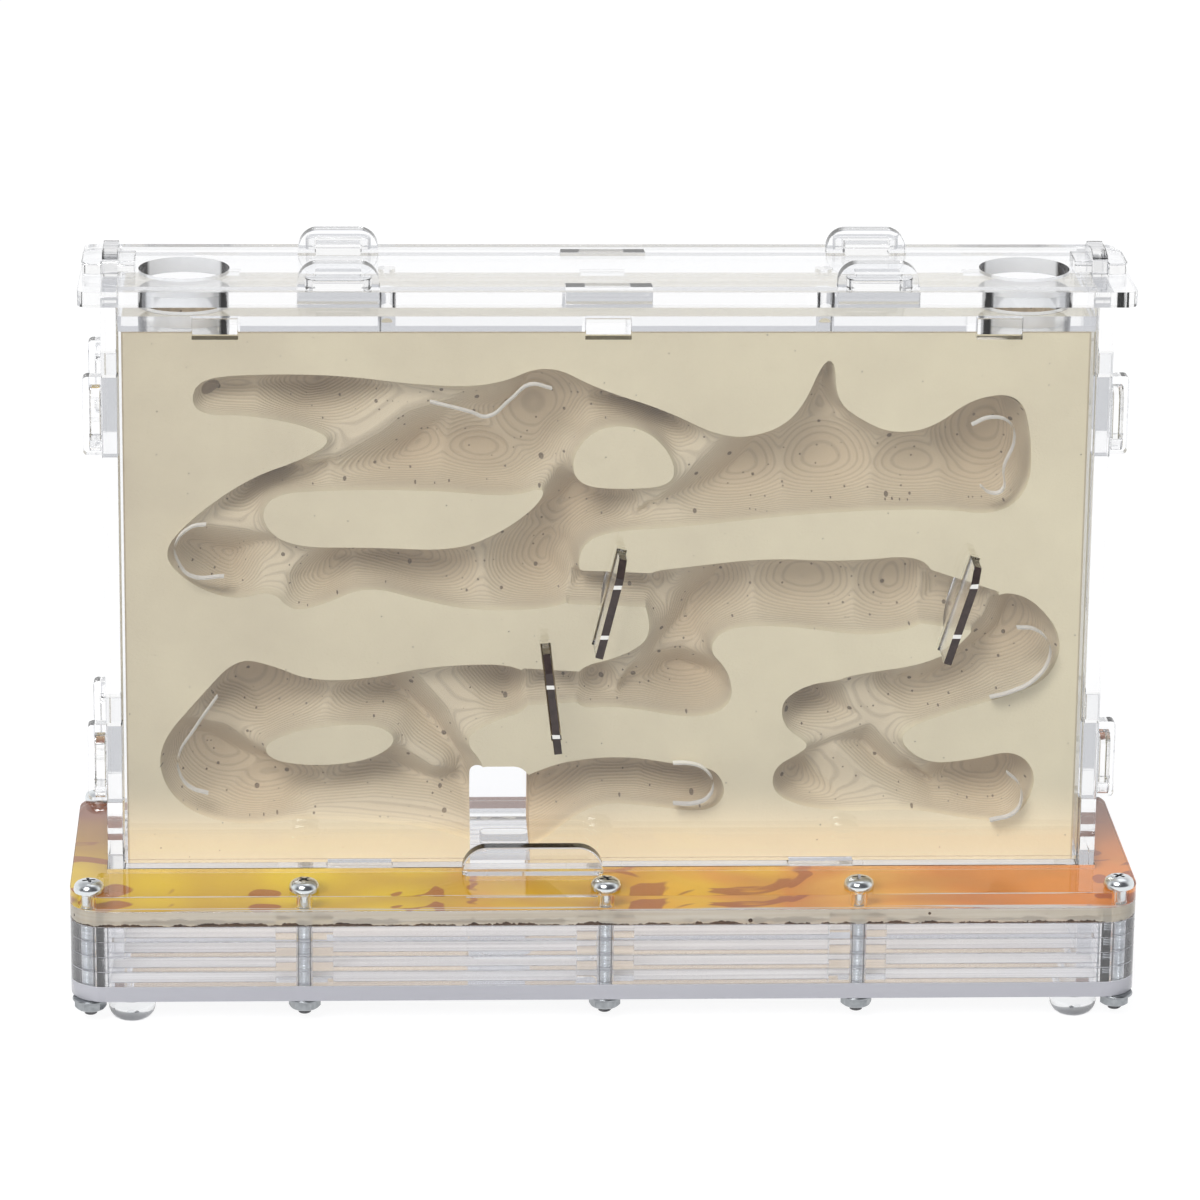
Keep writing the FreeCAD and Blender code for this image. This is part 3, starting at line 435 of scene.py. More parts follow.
def finish_sheet(node, axis, cutters=(), hair=0.05, width=0.18, ride_on="body",
                 edge=None, across=None, cut_finish=None):
    """Finishes one laser-cut sheet of the frame: merged, cut, eased, with its own face and edge finish."""
    piece = copy_of(node, node + "_sheet")
    piece.data.materials.append(clear)
    piece.data.materials.append(edge or edges[axis])
    for cutter in cutters:
        cutter.data.materials.clear()
        cutter.data.materials.append(cut_finish or edge or edges[axis])
        cut_away(piece, cutter)
    merge_flats(piece)
    draw_in(piece, axis, hair * MM)
    ease_edges(piece, width * MM)
    normal_to = across or Vector([float(a == axis) for a in "xyz"])
    for polygon in piece.data.polygons:
        if abs(polygon.normal.dot(normal_to)) > 0.9:
            polygon.material_index = 0
        elif polygon.material_index < 2:
            polygon.material_index = 1
    smooth(piece)
    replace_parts(piece, node)
    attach(piece, ride_on)
    return piece


RINGS_FOOT = 10.5
SHEET = 4.0
ring_edge, tree, shader = shader_of("ring_edge")
height = add_node(tree, "ShaderNodeSeparateXYZ", {0: object_coordinates(tree)}).outputs[2]
raised = maths(tree, "SUBTRACT", height, RINGS_FOOT * MM)
to_joint = maths(tree, "PINGPONG", raised, SHEET / 2 * MM)
joint = rescale(tree, to_joint, 0.00014, 0.00030, 1.0, 0.0)
streak = grain_along(tree, (9.0, 9.0, 1500.0), 2.0)
streaked = rescale(tree, streak, 0.38, 0.60)
pale = mix_colours(tree, streaked, (0.80, 0.80, 0.83, 1), (0.99, 0.99, 1.0, 1))
jointed = mix_colours(tree, joint, pale, (0.40, 0.40, 0.43, 1))
tree.links.new(jointed, shader.inputs["Base Color"])
set_inputs(shader, {"Transmission Weight": 0.88, "Roughness": 0.02, "IOR": 1.49})
let_light_through(tree, shader, (0.97, 0.972, 0.975, 1))
for count in range(1, 5):
    finish_sheet(f"base_ring_{count}", "z", hair=0.06, edge=ring_edge)

# The top ring was cut from older stock: its edge is beige, and soil has settled along its lower joint.
TOP_RING_FOOT = 26.5
soiled, tree, shader = shader_of("soiled_ring_edge")
place = object_coordinates(tree)
height = add_node(tree, "ShaderNodeSeparateXYZ", {0: place}).outputs[2]
streak = grain_along(tree, (22.0, 22.0, 900.0), 3.0)
beige = mix_colours(tree, streak, (0.52, 0.44, 0.33, 1), (0.80, 0.76, 0.68, 1))
clumps = noise(tree, place, 160.0, 5.0, roughness=0.7)
reach = rescale(tree, clumps, 0.42, 0.68, 0.00012, 0.0012)
above_joint = maths(tree, "SUBTRACT", height, TOP_RING_FOOT * MM)
soil = maths(tree, "LESS_THAN", above_joint, reach)
crumbs = add_node(tree, "ShaderNodeTexVoronoi", {"Vector": place, "Scale": 330.0, "Randomness": 1.0})
crumb_pick = add_node(tree, "ShaderNodeSeparateColor", {0: crumbs.outputs["Color"]}).outputs
crumb_reach = rescale(tree, crumb_pick[0], 0.80, 1.0, 0.0, 0.22)
crumb = maths(tree, "LESS_THAN", crumbs.outputs["Distance"], crumb_reach)
dirt = maths(tree, "MAXIMUM", soil, crumb)
dirtied = mix_colours(tree, dirt, beige, (0.055, 0.028, 0.015, 1))
tree.links.new(dirtied, shader.inputs["Base Color"])
set_inputs(shader, {"Transmission Weight": 0.45, "Roughness": 0.18, "IOR": 1.49})
let_light_through(tree, shader, (0.90, 0.89, 0.87, 1))
finish_sheet("base_ring_5", "z", hair=0.06, edge=soiled)


# ---- Printed plate ----
# The top plate of the base: clear acrylic with a warm translucent print of sand and stone tones
# on its underside, screwed down over the rings; a dark line runs round the print's cut edge.
printed = finish_sheet("printed_plate", "z", hair=0.06)
stone_print, tree, shader = shader_of("stone_print")
place = object_coordinates(tree)
axes = add_node(tree, "ShaderNodeSeparateXYZ", {0: place}).outputs
across = rescale(tree, axes[0], -0.135, 0.135)
drift = noise(tree, place, 14.0, 3.0, distortion=0.6)
shifted = maths(tree, "ADD", across, drift)
centred = maths(tree, "SUBTRACT", shifted, 0.5)
tones = add_node(tree, "ShaderNodeValToRGB", {0: centred})
ramp = tones.color_ramp
ramp.elements[0].position, ramp.elements[0].color = 0.0, (0.80, 0.54, 0.004, 1)
ramp.elements[1].position, ramp.elements[1].color = 1.0, (0.78, 0.24, 0.020, 1)
for position, colour in ((0.30, (0.84, 0.60, 0.006, 1)), (0.45, (0.80, 0.40, 0.008, 1)),
                         (0.60, (0.86, 0.50, 0.010, 1)), (0.72, (0.80, 0.27, 0.030, 1)),
                         (0.85, (0.88, 0.44, 0.080, 1))):
    ramp.elements.new(position).color = colour
pebbles = add_node(tree, "ShaderNodeTexVoronoi", {"Vector": place, "Scale": 46.0, "Randomness": 1.0},
                   feature="SMOOTH_F1")
pebbles.inputs["Smoothness"].default_value = 0.35
vein = rescale(tree, pebbles.outputs["Distance"], 0.30, 0.85, 0.0, 0.55)
veined = mix_colours(tree, vein, tones.outputs["Color"], (0.42, 0.15, 0.03, 1))
cloud = noise(tree, place, 38.0, 2.0, distortion=1.4)
blot = rescale(tree, cloud, 0.585, 0.605, 0.0, 0.80)
blotted = mix_colours(tree, blot, veined, (0.34, 0.060, 0.012, 1))
behind = rescale(tree, axes[1], -0.018, 0.026)
muted = mix_colours(tree, behind, blotted, (0.30, 0.12, 0.07, 1))
rim = rescale(tree, axes[1], -0.0393, -0.0390, 1.0, 0.0)
rub = grain_along(tree, (16.0, 700.0, 1.0), 1.0)
worn = rescale(tree, rub, 0.50, 0.54)
in_front = maths(tree, "LESS_THAN", axes[1], -0.0355)
rubbed_off = maths(tree, "MULTIPLY", worn, in_front)
rubbed = mix_colours(tree, rubbed_off, muted, (0.66, 0.63, 0.60, 1))
edged = mix_colours(tree, rim, rubbed, (0.06, 0.022, 0.012, 1))
tree.links.new(edged, shader.inputs["Base Color"])
# The print also glows faintly in its own colours: painted light standing in for light that shines up through
# it.
tree.links.new(edged, shader.inputs["Emission Color"])
set_inputs(shader, {"Emission Strength": 0.06, "Roughness": 0.45})
let_light_through(tree, shader, (0.97, 0.965, 0.96, 1))

joint_line, tree, shader = shader_of("nest_joint_line")
grime = mottled(tree, 90.0, 4.0, (0.04, 0.03, 0.025, 1), (0.42, 0.36, 0.30, 1))
tree.links.new(grime["Tone"], shader.inputs["Base Color"])
set_inputs(shader, {"Roughness": 0.3})
printed.data.materials.append(stone_print)
printed.data.materials.append(joint_line)
for polygon in printed.data.polygons:
    by_the_nest = abs(polygon.center.x) < 0.128 and -0.018 < polygon.center.y < 0.030
    if polygon.normal.z < -0.9:
        polygon.material_index = 2
    elif polygon.material_index == 1 and by_the_nest:
        polygon.material_index = 3


# ---- Clamp screws and nuts ----
# M4 pan-head screws of bright zinc-plated steel with a cross recess. Their threads show through
# the clear layers, and below the plate a flanged nut holds each, with the screw's tip standing out.
zinc, tree, shader = shader_of("bright_zinc")
plating = mottled(tree, 500.0, 3.0, (0.62, 0.66, 0.68, 1), (0.84, 0.87, 0.88, 1))
tree.links.new(plating["Tone"], shader.inputs["Base Color"])
set_inputs(shader, {"Metallic": 1.0})
dulled = rescale(tree, plating["Unevenness"], 0.0, 1.0, 0.10, 0.34)
tree.links.new(dulled, shader.inputs["Roughness"])

nut_steel, tree, shader = shader_of("dull_nut_steel")
plating = mottled(tree, 700.0, 3.0, (0.20, 0.215, 0.225, 1), (0.50, 0.52, 0.54, 1))
tree.links.new(plating["Tone"], shader.inputs["Base Color"])
set_inputs(shader, {"Metallic": 1.0, "Roughness": 0.33})

# The cross recess and the screw's tip below the nut are given a near-black steel: painted shade in the
# recess, and a darker tip under the plate.
recess_shade_steel, tree, shader = shader_of("recess_shade_and_tip_steel")
dark_steel_tone = mottled(tree, 900.0, 3.0, (0.02, 0.02, 0.02, 1), (0.22, 0.22, 0.23, 1))
tree.links.new(dark_steel_tone["Tone"], shader.inputs["Base Color"])
set_inputs(shader, {"Metallic": 0.8, "Roughness": 0.3})

HEAD_FOOT = 34.5
HEAD_TOP = 37.6
SHANK_END = 1.8
PLAIN_NECK = 4.0
THREAD_PITCH = 0.7
ACROSS_FLATS = 7
SCREW_COLUMNS = (-130.0, -76.0, 0.0, 64.0, 130.0)
SCREW_ROWS = (-34.9, 34.9)


def join(pieces, name):
    """Joins solids that touch into one piece."""
    bpy.ops.object.select_all(action="DESELECT")
    for piece in pieces:
        piece.select_set(True)
    bpy.context.view_layer.objects.active = pieces[0]
    bpy.ops.object.join()
    pieces[0].name = name
    return pieces[0]


def threaded_rod(low, high, inner, outer):
    """A thread as one turn's profile wound upwards, closed at both ends."""
    bpy.ops.mesh.primitive_plane_add(size=1, location=(0, 0, 0))
    rod = bpy.context.object
    tooth = [(inner, 0.0), (outer, 0.5), (inner, 1.0)]
    rod.data.clear_geometry()
    rod.data.from_pydata([(radius * MM, 0, (low + rise * THREAD_PITCH) * MM) for radius, rise in tooth],
                         [(0, 1), (1, 2)], [])
    wind = rod.modifiers.new("wind", "SCREW")
    wind.angle = math.tau
    wind.steps = wind.render_steps = 18
    wind.screw_offset = THREAD_PITCH * MM
    wind.iterations = int((high - low) / THREAD_PITCH)
    wind.use_merge_vertices = True
    wind.merge_threshold = 0.01 * MM
    bpy.context.view_layer.objects.active = rod
    bpy.ops.object.modifier_apply(modifier="wind")
    bpy.ops.object.mode_set(mode="EDIT")
    bpy.ops.mesh.select_all(action="SELECT")
    bpy.ops.mesh.remove_doubles(threshold=0.01 * MM)
    bpy.ops.mesh.select_all(action="DESELECT")
    bpy.ops.mesh.select_non_manifold()
    bpy.ops.mesh.fill()
    bpy.ops.mesh.select_all(action="SELECT")
    bpy.ops.mesh.normals_make_consistent(inside=False)
    bpy.ops.object.mode_set(mode="OBJECT")
    return rod


head = turn_profile("screw_head", [(0.9, HEAD_TOP), (2.0, HEAD_TOP - 0.06), (2.9, HEAD_TOP - 0.42),
                                   (3.5, HEAD_TOP - 0.98), (3.82, HEAD_TOP - 1.75), (3.88, HEAD_TOP - 2.5),
                                   (3.7, HEAD_TOP - 2.95), (3.3, HEAD_FOOT + 0.02)], 0, 0, 40)
for turn in (0.0, 90.0):
    bpy.ops.mesh.primitive_cube_add(size=1, location=(0, 0, (HEAD_TOP - 0.4) * MM))
    blade = bpy.context.object
    blade.scale = (4.3 * MM, 0.85 * MM, 2.2 * MM)
    settle(blade)
    for v in blade.data.vertices:
        if v.co.z < (HEAD_TOP - 1) * MM:
            v.co.x *= 0.35
            v.co.y *= 0.7
    blade.data.transform(Matrix.Rotation(math.radians(turn + 20), 4, "Z"))
    cut_away(head, blade)
rod = threaded_rod(SHANK_END + 0.25, HEAD_FOOT - PLAIN_NECK + 0.3, 1.60, 1.98)
neck = turn_profile("screw_neck", [(1.80, HEAD_FOOT + 0.2), (1.80, HEAD_FOOT - PLAIN_NECK),
                                   (1.62, HEAD_FOOT - PLAIN_NECK - 0.3)], 0, 0, 24)
tip = turn_profile("screw_tip", [(1.62, SHANK_END + 0.7), (1.6, SHANK_END + 0.25), (1.2, SHANK_END)],
                   0, 0, 24)
screw = join([head, rod, neck, tip], "clamp_screw_pattern")
screw.data.materials.clear()
screw.data.materials.append(zinc)
screw.data.materials.append(recess_shade_steel)
# A face in the cross recess or low on the tip takes the near-black steel: painted shade in the recess.
for polygon in screw.data.polygons:
    off_axis = math.hypot(polygon.center.x, polygon.center.y)
    in_recess = off_axis < 2.2 * MM and (HEAD_FOOT + 0.3) * MM < polygon.center.z < (HEAD_TOP - 0.12) * MM
    polygon.material_index = int(polygon.center.z < 3.3 * MM or in_recess)
smooth(screw, 34)

flange = turn_profile("nut_flange", [(3.4, 6.44), (4.45, 6.4), (4.6, 6.05), (4.5, 5.75), (3.7, 5.35)],
                      0, 0, 40)
bpy.ops.mesh.primitive_cylinder_add(vertices=6, radius=ACROSS_FLATS / math.sqrt(3) * MM, depth=2.6 * MM,
                                    location=(0, 0, 4.6 * MM))
hexagon = bpy.context.object
settle(hexagon)
cone = turn_profile("nut_chamfer", [(4.3, 6.2), (4.3, 4.1), (3.2, 3.25)], 0, 0, 40)
trim = hexagon.modifiers.new("trim", "BOOLEAN")
trim.operation = "INTERSECT"
trim.solver = "EXACT"
trim.object = cone
bpy.context.view_layer.objects.active = hexagon
bpy.ops.object.modifier_apply(modifier="trim")
bpy.data.objects.remove(cone)
nut = join([flange, hexagon], "flange_nut_pattern")
nut.data.materials.clear()
nut.data.materials.append(nut_steel)
smooth(nut, 30)


def set_down(pattern, name, x, y, turn):
    """Copies a fastener to its place, with its own mesh."""
    placed = bpy.data.objects.new(name, pattern.data.copy())
    scene.collection.objects.link(placed)
    placed.data.transform(Matrix.Translation((x * MM, y * MM, 0)) @ Matrix.Rotation(turn, 4, "Z"))
    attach(placed, "body")
    return placed


fitting = random.Random(4)
for column, x in enumerate(SCREW_COLUMNS):
    for row, y in zip(("front", "back"), SCREW_ROWS):
        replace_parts(set_down(screw, f"clamp_screw_{row}_{column + 1}", x, y, fitting.uniform(0, 6.28)),
                    "clamp_screws")
        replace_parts(set_down(nut, f"flange_nut_{row}_{column + 1}", x, y, fitting.uniform(0, 6.28)),
                    "clamp_nuts")
bpy.data.objects.remove(screw)
bpy.data.objects.remove(nut)


# ---- Nest walls: floor, panels and ceiling ----
# Clear acrylic sheets, 4 mm thick, held together by tabs in slots. The front panel has fine
# curved slits, cut to let air and moisture through, whose walls look white and glow faintly: painted light.
finish_sheet("floor_plate", "z", hair=0.07)
slit_white, tree, shader = shader_of("slit_wall")
frost_and_glow_tone = mottled(tree, 1800.0, 2.0, (0.66, 0.64, 0.60, 1), (0.92, 0.91, 0.89, 1))
tree.links.new(frost_and_glow_tone["Tone"], shader.inputs["Base Color"])
# The slit walls glow faintly in their frosted tone: painted light.
tree.links.new(frost_and_glow_tone["Tone"], shader.inputs["Emission Color"])
set_inputs(shader, {"Emission Strength": 0.1, "Roughness": 0.25})
BASE_TOP = 34.5
PANEL_FRONT = -13.9
SLITS = (
    ((-44.3, 121.4), (-34.3, 118.8), (-30.1, 117.5), (-24.3, 121.9), (-19.4, 125.8), (-13.9, 124.8)),
    ((91.5, 115.3), (96, 117.2), (101, 115.9), (102.4, 112), (99.9, 104.1), (99.6, 98.1), (96.6, 97.6),
     (94.2, 99.4)),
    ((-100.3, 89.6), (-104.3, 88.8), (-108.1, 84.1), (-107.3, 79.7), (-104.4, 76.2), (-95.9, 76)),
    ((-97.9, 44.3), (-103.5, 36), (-107.9, 28), (-107.4, 23.2), (-104.9, 20), (-100.4, 18.4)),
    ((17.8, 26), (22.1, 25.9), (26, 24.3), (28.1, 20.3), (26.9, 16.8), (23.6, 15.2), (18, 15.2)),
    ((104.6, 62), (109.2, 61.5), (112.8, 58), (113.2, 54), (109.6, 48.1), (103.3, 44.7), (98.3, 43.4)),
    ((103.3, 23.2), (106.2, 20.5), (107.3, 16.4), (105.7, 12.4), (99.3, 10.2)),
)


def slit_cutter(points, width):
    """A thin curved blade through the panel, along a smooth line."""
    line = bpy.data.curves.new("slit", "CURVE")
    line.dimensions = "3D"
    line.resolution_u = 5
    spline = line.splines.new("BEZIER")
    spline.bezier_points.add(len(points) - 1)
    for point, (x, z) in zip(spline.bezier_points, points):
        point.co = (x * MM, (PANEL_FRONT - 0.5) * MM, (z + BASE_TOP) * MM)
        point.handle_left_type = point.handle_right_type = "AUTO"
    blade = bpy.data.objects.new("slit", line)
    scene.collection.objects.link(blade)
    pick_up(blade)
    bpy.ops.object.convert(target="MESH")
    blade = bpy.context.object
    bpy.ops.object.mode_set(mode="EDIT")
    bpy.ops.mesh.select_all(action="SELECT")
    bpy.ops.mesh.extrude_region_move(TRANSFORM_OT_translate={"value": (0, 5 * MM, 0)})
    bpy.ops.object.mode_set(mode="OBJECT")
    wall = blade.modifiers.new("wall", "SOLIDIFY")
    wall.thickness = width * MM
    wall.offset = 0
    bpy.ops.object.modifier_apply(modifier="wall")
    bpy.ops.object.mode_set(mode="EDIT")
    bpy.ops.mesh.select_all(action="SELECT")
    bpy.ops.mesh.normals_make_consistent(inside=False)
    bpy.ops.object.mode_set(mode="OBJECT")
    return blade


panel = copy_of("front_panel", "front_panel_slit")
panel.data.materials.append(clear)
panel.data.materials.append(edges["y"])
for points in SLITS:
    blade = slit_cutter(points, 0.32)
    blade.data.materials.append(slit_white)
    cut_away(panel, blade)
merge_flats(panel)
draw_in(panel, "y", 0.05 * MM)
ease_edges(panel, 0.12 * MM)
for polygon in panel.data.polygons:
    if abs(polygon.normal.y) > 0.9:
        polygon.material_index = 0
    elif polygon.material_index != 2:
        polygon.material_index = 1
smooth(panel)
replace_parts(panel, "front_panel")
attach(panel, "body")
finish_sheet("back_panel", "y")
finish_sheet("left_panel", "x")
finish_sheet("right_panel", "x")


PORTS = (-105.7, 105.7)
PORT_Y = 6.1
PORT_RADIUS = 11.38
BORE_RADIUS = 11.65


def port_cutter(x, low, high, radius=PORT_RADIUS):
    """A round cutter for a port, smoother than the frame's own hole."""
    bpy.ops.mesh.primitive_cylinder_add(vertices=96, radius=radius * MM, depth=(high - low) * MM,
                                        location=(x * MM, PORT_Y * MM, (low + high) / 2 * MM))
    cutter = bpy.context.object
    settle(cutter)
    return cutter


# The bore's wall is painted near-black on its left and right flanks and pale between: painted reflections of
# a polished bore seen from above.
port_wall, tree, shader = shader_of("polished_port_wall")
place = add_node(tree, "ShaderNodeSeparateXYZ", {0: object_coordinates(tree)}).outputs
outwards = maths(tree, "ABSOLUTE", place[0])
from_axis = maths(tree, "SUBTRACT", outwards, PORTS[1] * MM)
sideways = maths(tree, "ABSOLUTE", from_axis)
dark_reflection_flank = rescale(tree, sideways, 0.0086, 0.0096, softly=True)
wall_tone = mix_colours(tree, dark_reflection_flank, (0.80, 0.81, 0.83, 1), (0.012, 0.011, 0.012, 1))
tree.links.new(wall_tone, shader.inputs["Base Color"])
set_inputs(shader, {"Transmission Weight": 0.30, "IOR": 1.49, "Roughness": 0.05})
finish_sheet("ceiling_plate", "z", cutters=[port_cutter(x, 170, 180) for x in PORTS], cut_finish=port_wall)


# ---- Lid and keys ----
# The lid is one more clear sheet with two tube ports and two watering holes. Small T-shaped keys,
# cut from thinner sheet, go through the ears of the walls and lock the lid and the walls.
finish_sheet("lid", "z", cutters=[port_cutter(x, 180, 187) for x in PORTS], width=0.25,
             cut_finish=port_wall)
for node in sorted(nodes):
    if node.startswith("lid_key"):
        finish_sheet(node, "z", hair=0.02, ride_on=node)
    elif node.startswith("wall_key"):
        low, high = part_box(node)
        finish_sheet(node, "x" if high[0] - low[0] < SHEET * MM else "z", hair=0.02, ride_on=node)


# ---- Plaster nest ----
# A cast block of cream plaster between the panels. The tunnels are milled into its face with a
# round cutter: steep under their upper edge, easy on the lower side, with fine tool lines.
NEST_FACE = -9.9
NEST_BACK = 21.9
NEST_SOLE = 34.6
NEST_TOP = 173.1
NEST_END = 120.6
LINE_PITCH = 0.7
plaster, tree, shader = shader_of("carved_plaster")
place = object_coordinates(tree)
axes = add_node(tree, "ShaderNodeSeparateXYZ", {0: place}).outputs
depth = maths(tree, "ADD", axes[1], -NEST_FACE * MM)
from_middle = maths(tree, "ABSOLUTE", axes[0])
off_ends = maths(tree, "LESS_THAN", from_middle, NEST_END * MM)
under_top = maths(tree, "LESS_THAN", axes[2], NEST_TOP * MM)
before_back = maths(tree, "LESS_THAN", axes[1], NEST_BACK * MM)
above_sole = maths(tree, "GREATER_THAN", axes[2], NEST_SOLE * MM)
off_top_and_ends = maths(tree, "MULTIPLY", off_ends, under_top)
off_back_and_sole = maths(tree, "MULTIPLY", before_back, above_sole)
inside = maths(tree, "MULTIPLY", off_top_and_ends, off_back_and_sole)
below_face = rescale(tree, depth, 0.0003, 0.0035, softly=True)
carved = maths(tree, "MULTIPLY", below_face, inside)
# The milled plaster has its own tan tone; it is also painted darker and warmer with depth: painted shade deep
# in the tunnels.
depth_shade_share = rescale(tree, depth, 0.003, 0.016)
patch = noise(tree, place, 30.0, 4.0, roughness=0.6)
fine = noise(tree, place, 1400.0, 2.0)
along = rescale(tree, axes[0], -0.12, 0.12, -0.25, 0.25)
lighter = maths(tree, "ADD", along, patch)
cream = mix_colours(tree, lighter, (0.540, 0.465, 0.330, 1), (0.745, 0.667, 0.466, 1))
# Low on the face the plaster is painted paler and peach: painted light thrown up by the print below.
low_glow = rescale(tree, axes[2], 0.0345, 0.058, 0.95, 0.0, softly=True)
cream_with_painted_glow = mix_colours(tree, low_glow, cream, (0.875, 0.745, 0.51, 1))
milled = mix_colours(tree, depth_shade_share, (0.60, 0.510, 0.365, 1), (0.52, 0.405, 0.265, 1))
uneven = rescale(tree, patch, 0.3, 0.7, 0.80, 1.0)
milled_share = maths(tree, "MULTIPLY", carved, uneven)
shaded = mix_colours(tree, milled_share, cream_with_painted_glow, milled)
# A faint warm emission low on the face: painted light from the print below, though nothing there is a lamp.
up_glow = rescale(tree, axes[2], 0.0345, 0.055, 1.0, 0.0, softly=True)
lit_from_print = mix_colours(tree, up_glow, (0, 0, 0, 1), (0.24, 0.165, 0.095, 1))
tree.links.new(lit_from_print, shader.inputs["Emission Color"])
set_inputs(shader, {"Emission Strength": 1.0})
on_face = add_node(tree, "ShaderNodeCombineXYZ", {0: axes[0], 1: axes[2]}).outputs[0]
# Small pits of two sizes dot the plaster; each is painted near-black: painted shade in the pits.
bubbles = add_node(tree, "ShaderNodeTexVoronoi", {"Vector": on_face, "Scale": 125.0, "Randomness": 1.0},
                   voronoi_dimensions="2D")
pick = add_node(tree, "ShaderNodeSeparateColor", {0: bubbles.outputs["Color"]}).outputs
reach = rescale(tree, pick[0], 0.35, 1.0, 0.0, 0.082)
wider = rescale(tree, carved, 0.0, 1.0, 0.30, 1.0)
radius = maths(tree, "MULTIPLY", reach, wider)
pit = maths(tree, "LESS_THAN", bubbles.outputs["Distance"], radius)
grit = add_node(tree, "ShaderNodeTexVoronoi", {"Vector": on_face, "Scale": 420.0, "Randomness": 1.0},
                voronoi_dimensions="2D")
grit_pick = add_node(tree, "ShaderNodeSeparateColor", {0: grit.outputs["Color"]}).outputs
grit_reach = rescale(tree, grit_pick[1], 0.74, 1.0, 0.0, 0.12)
grit_radius = maths(tree, "MULTIPLY", grit_reach, wider)
speck = maths(tree, "LESS_THAN", grit.outputs["Distance"], grit_radius)
marks = maths(tree, "MAXIMUM", pit, speck)
painted_pit_shade = maths(tree, "MULTIPLY", marks, 0.82)
with_pit_shade = mix_colours(tree, painted_pit_shade, shaded, (0.10, 0.065, 0.04, 1))
lines = maths(tree, "MULTIPLY", depth, math.tau / (LINE_PITCH * MM))
tool_lines = maths(tree, "SINE", lines)
line_tone = rescale(tree, tool_lines, 0.2, 1.0, 0.0, 0.26)
drawn = maths(tree, "MULTIPLY", line_tone, carved)
lined = mix_colours(tree, drawn, with_pit_shade, (0.20, 0.14, 0.09, 1))
# A thin darker line is painted where the face meets the block's top, ends, back and sole.
near_face = maths(tree, "LESS_THAN", depth, 0.0004)
at_edge = maths(tree, "SUBTRACT", 1.0, inside)
edge_share = maths(tree, "MULTIPLY", near_face, at_edge)
edge_darkening = maths(tree, "MULTIPLY", edge_share, 0.6)
rimmed = mix_colours(tree, edge_darkening, lined, (0.28, 0.20, 0.12, 1))
tree.links.new(rimmed, shader.inputs["Base Color"])
set_inputs(shader, {"Roughness": 0.85, "Specular IOR Level": 0.25})
only_carved = maths(tree, "MULTIPLY", tool_lines, carved)
rest_of_it = maths(tree, "MULTIPLY_ADD", only_carved, 0.5, fine)
pitted = maths(tree, "SUBTRACT", rest_of_it, marks)
bump = add_node(tree, "ShaderNodeBump", {"Height": pitted, "Strength": 0.6, "Distance": 0.00016})
tree.links.new(bump.outputs[0], shader.inputs["Normal"])

# The outlines run along the face in millimetres, with heights above the top of the base.
UPPER_GALLERY = (
    (-104, 121), (-102, 126.5), (-92, 128), (-68, 128), (-45, 125), (-28, 125), (-15, 131), (-2, 124),
    (14, 119), (30, 111), (42, 113), (49, 119), (54, 131.5), (57, 131.5), (57.5, 121), (64, 116),
    (72, 112.5), (82, 114), (92, 122), (104, 123), (107, 111), (107, 98), (99, 91), (84, 93), (53, 92),
    (18, 88),
    (-1, 87), (-7, 82), (-6, 74), (-9, 67), (-32, 66), (-46, 69), (-60, 73), (-71, 68),
    (-79, 66), (-84, 72), (-93, 69), (-104, 73), (-112, 81), (-105, 90), (-90, 101),
    (-76, 106), (-68, 111), (-76, 115), (-90, 117.5), (-101, 117.5),
)
MIDDLE_CHAMBER = (
    (7, 76), (23, 78), (41, 80), (61, 79), (81, 81), (84, 72), (82, 62), (67, 59), (48, 62),
    (31, 62), (26, 56), (32, 50), (33, 41), (24, 37), (4, 41), (-8, 40), (-8, 51), (5, 54),
    (13, 60),
)
LEFT_CHAMBER = (
    (-18, 52), (-42, 52), (-61, 48), (-75, 48), (-84, 52), (-93, 54), (-102, 44), (-113, 31),
    (-112, 20), (-104, 12), (-91, 9), (-78, 11), (-58, 10), (-42, 8), (-29, 3), (-29, 24),
    (-36, 32), (-28, 37), (-18, 40),
)
RIGHT_CHAMBER = (
    (98, 71), (108, 70), (117, 59), (114, 48), (103, 43), (88, 39), (74, 33), (82, 25),
    (94, 26), (106, 29), (112, 21), (106, 9), (94, 10), (80, 13), (58, 12), (44, 16), (43, 24),
    (52, 29), (52, 31), (46, 35), (45, 42), (52, 46.5), (60, 47.5), (63, 49), (84, 52), (94, 60),
)
LOWER_CHAMBER = (
    (-24, 20), (-18, 23), (-9, 26.3), (6, 27.5), (20, 25), (29, 24), (32, 17), (27, 12), (12, 14), (0, 15),
    (-8, 11), (-17, 3), (-23, 3),
)
ISLANDS = (
    ((-87, 90), (-84, 97), (-69, 98), (-44, 98), (-24, 96), (-15, 99), (-17, 94), (-26, 87),
     (-38, 82), (-58, 83), (-80, 83)),
    ((-9, 106), (-4, 113), (3, 115), (11, 113), (17, 106), (17, 99), (4, 98), (-7, 99)),
    ((-87, 30), (-80, 34), (-68, 36), (-57, 36), (-52, 32), (-58, 27), (-70, 25), (-83, 26)),
)
CORRIDORS = (
    ((-10, 68), (14, 67), (14, 76), (-10, 77)),
    ((78, 63), (98, 60), (100, 71), (79, 78)),
    ((-21, 41), (-5, 42), (-5, 50), (-21, 51)),
)
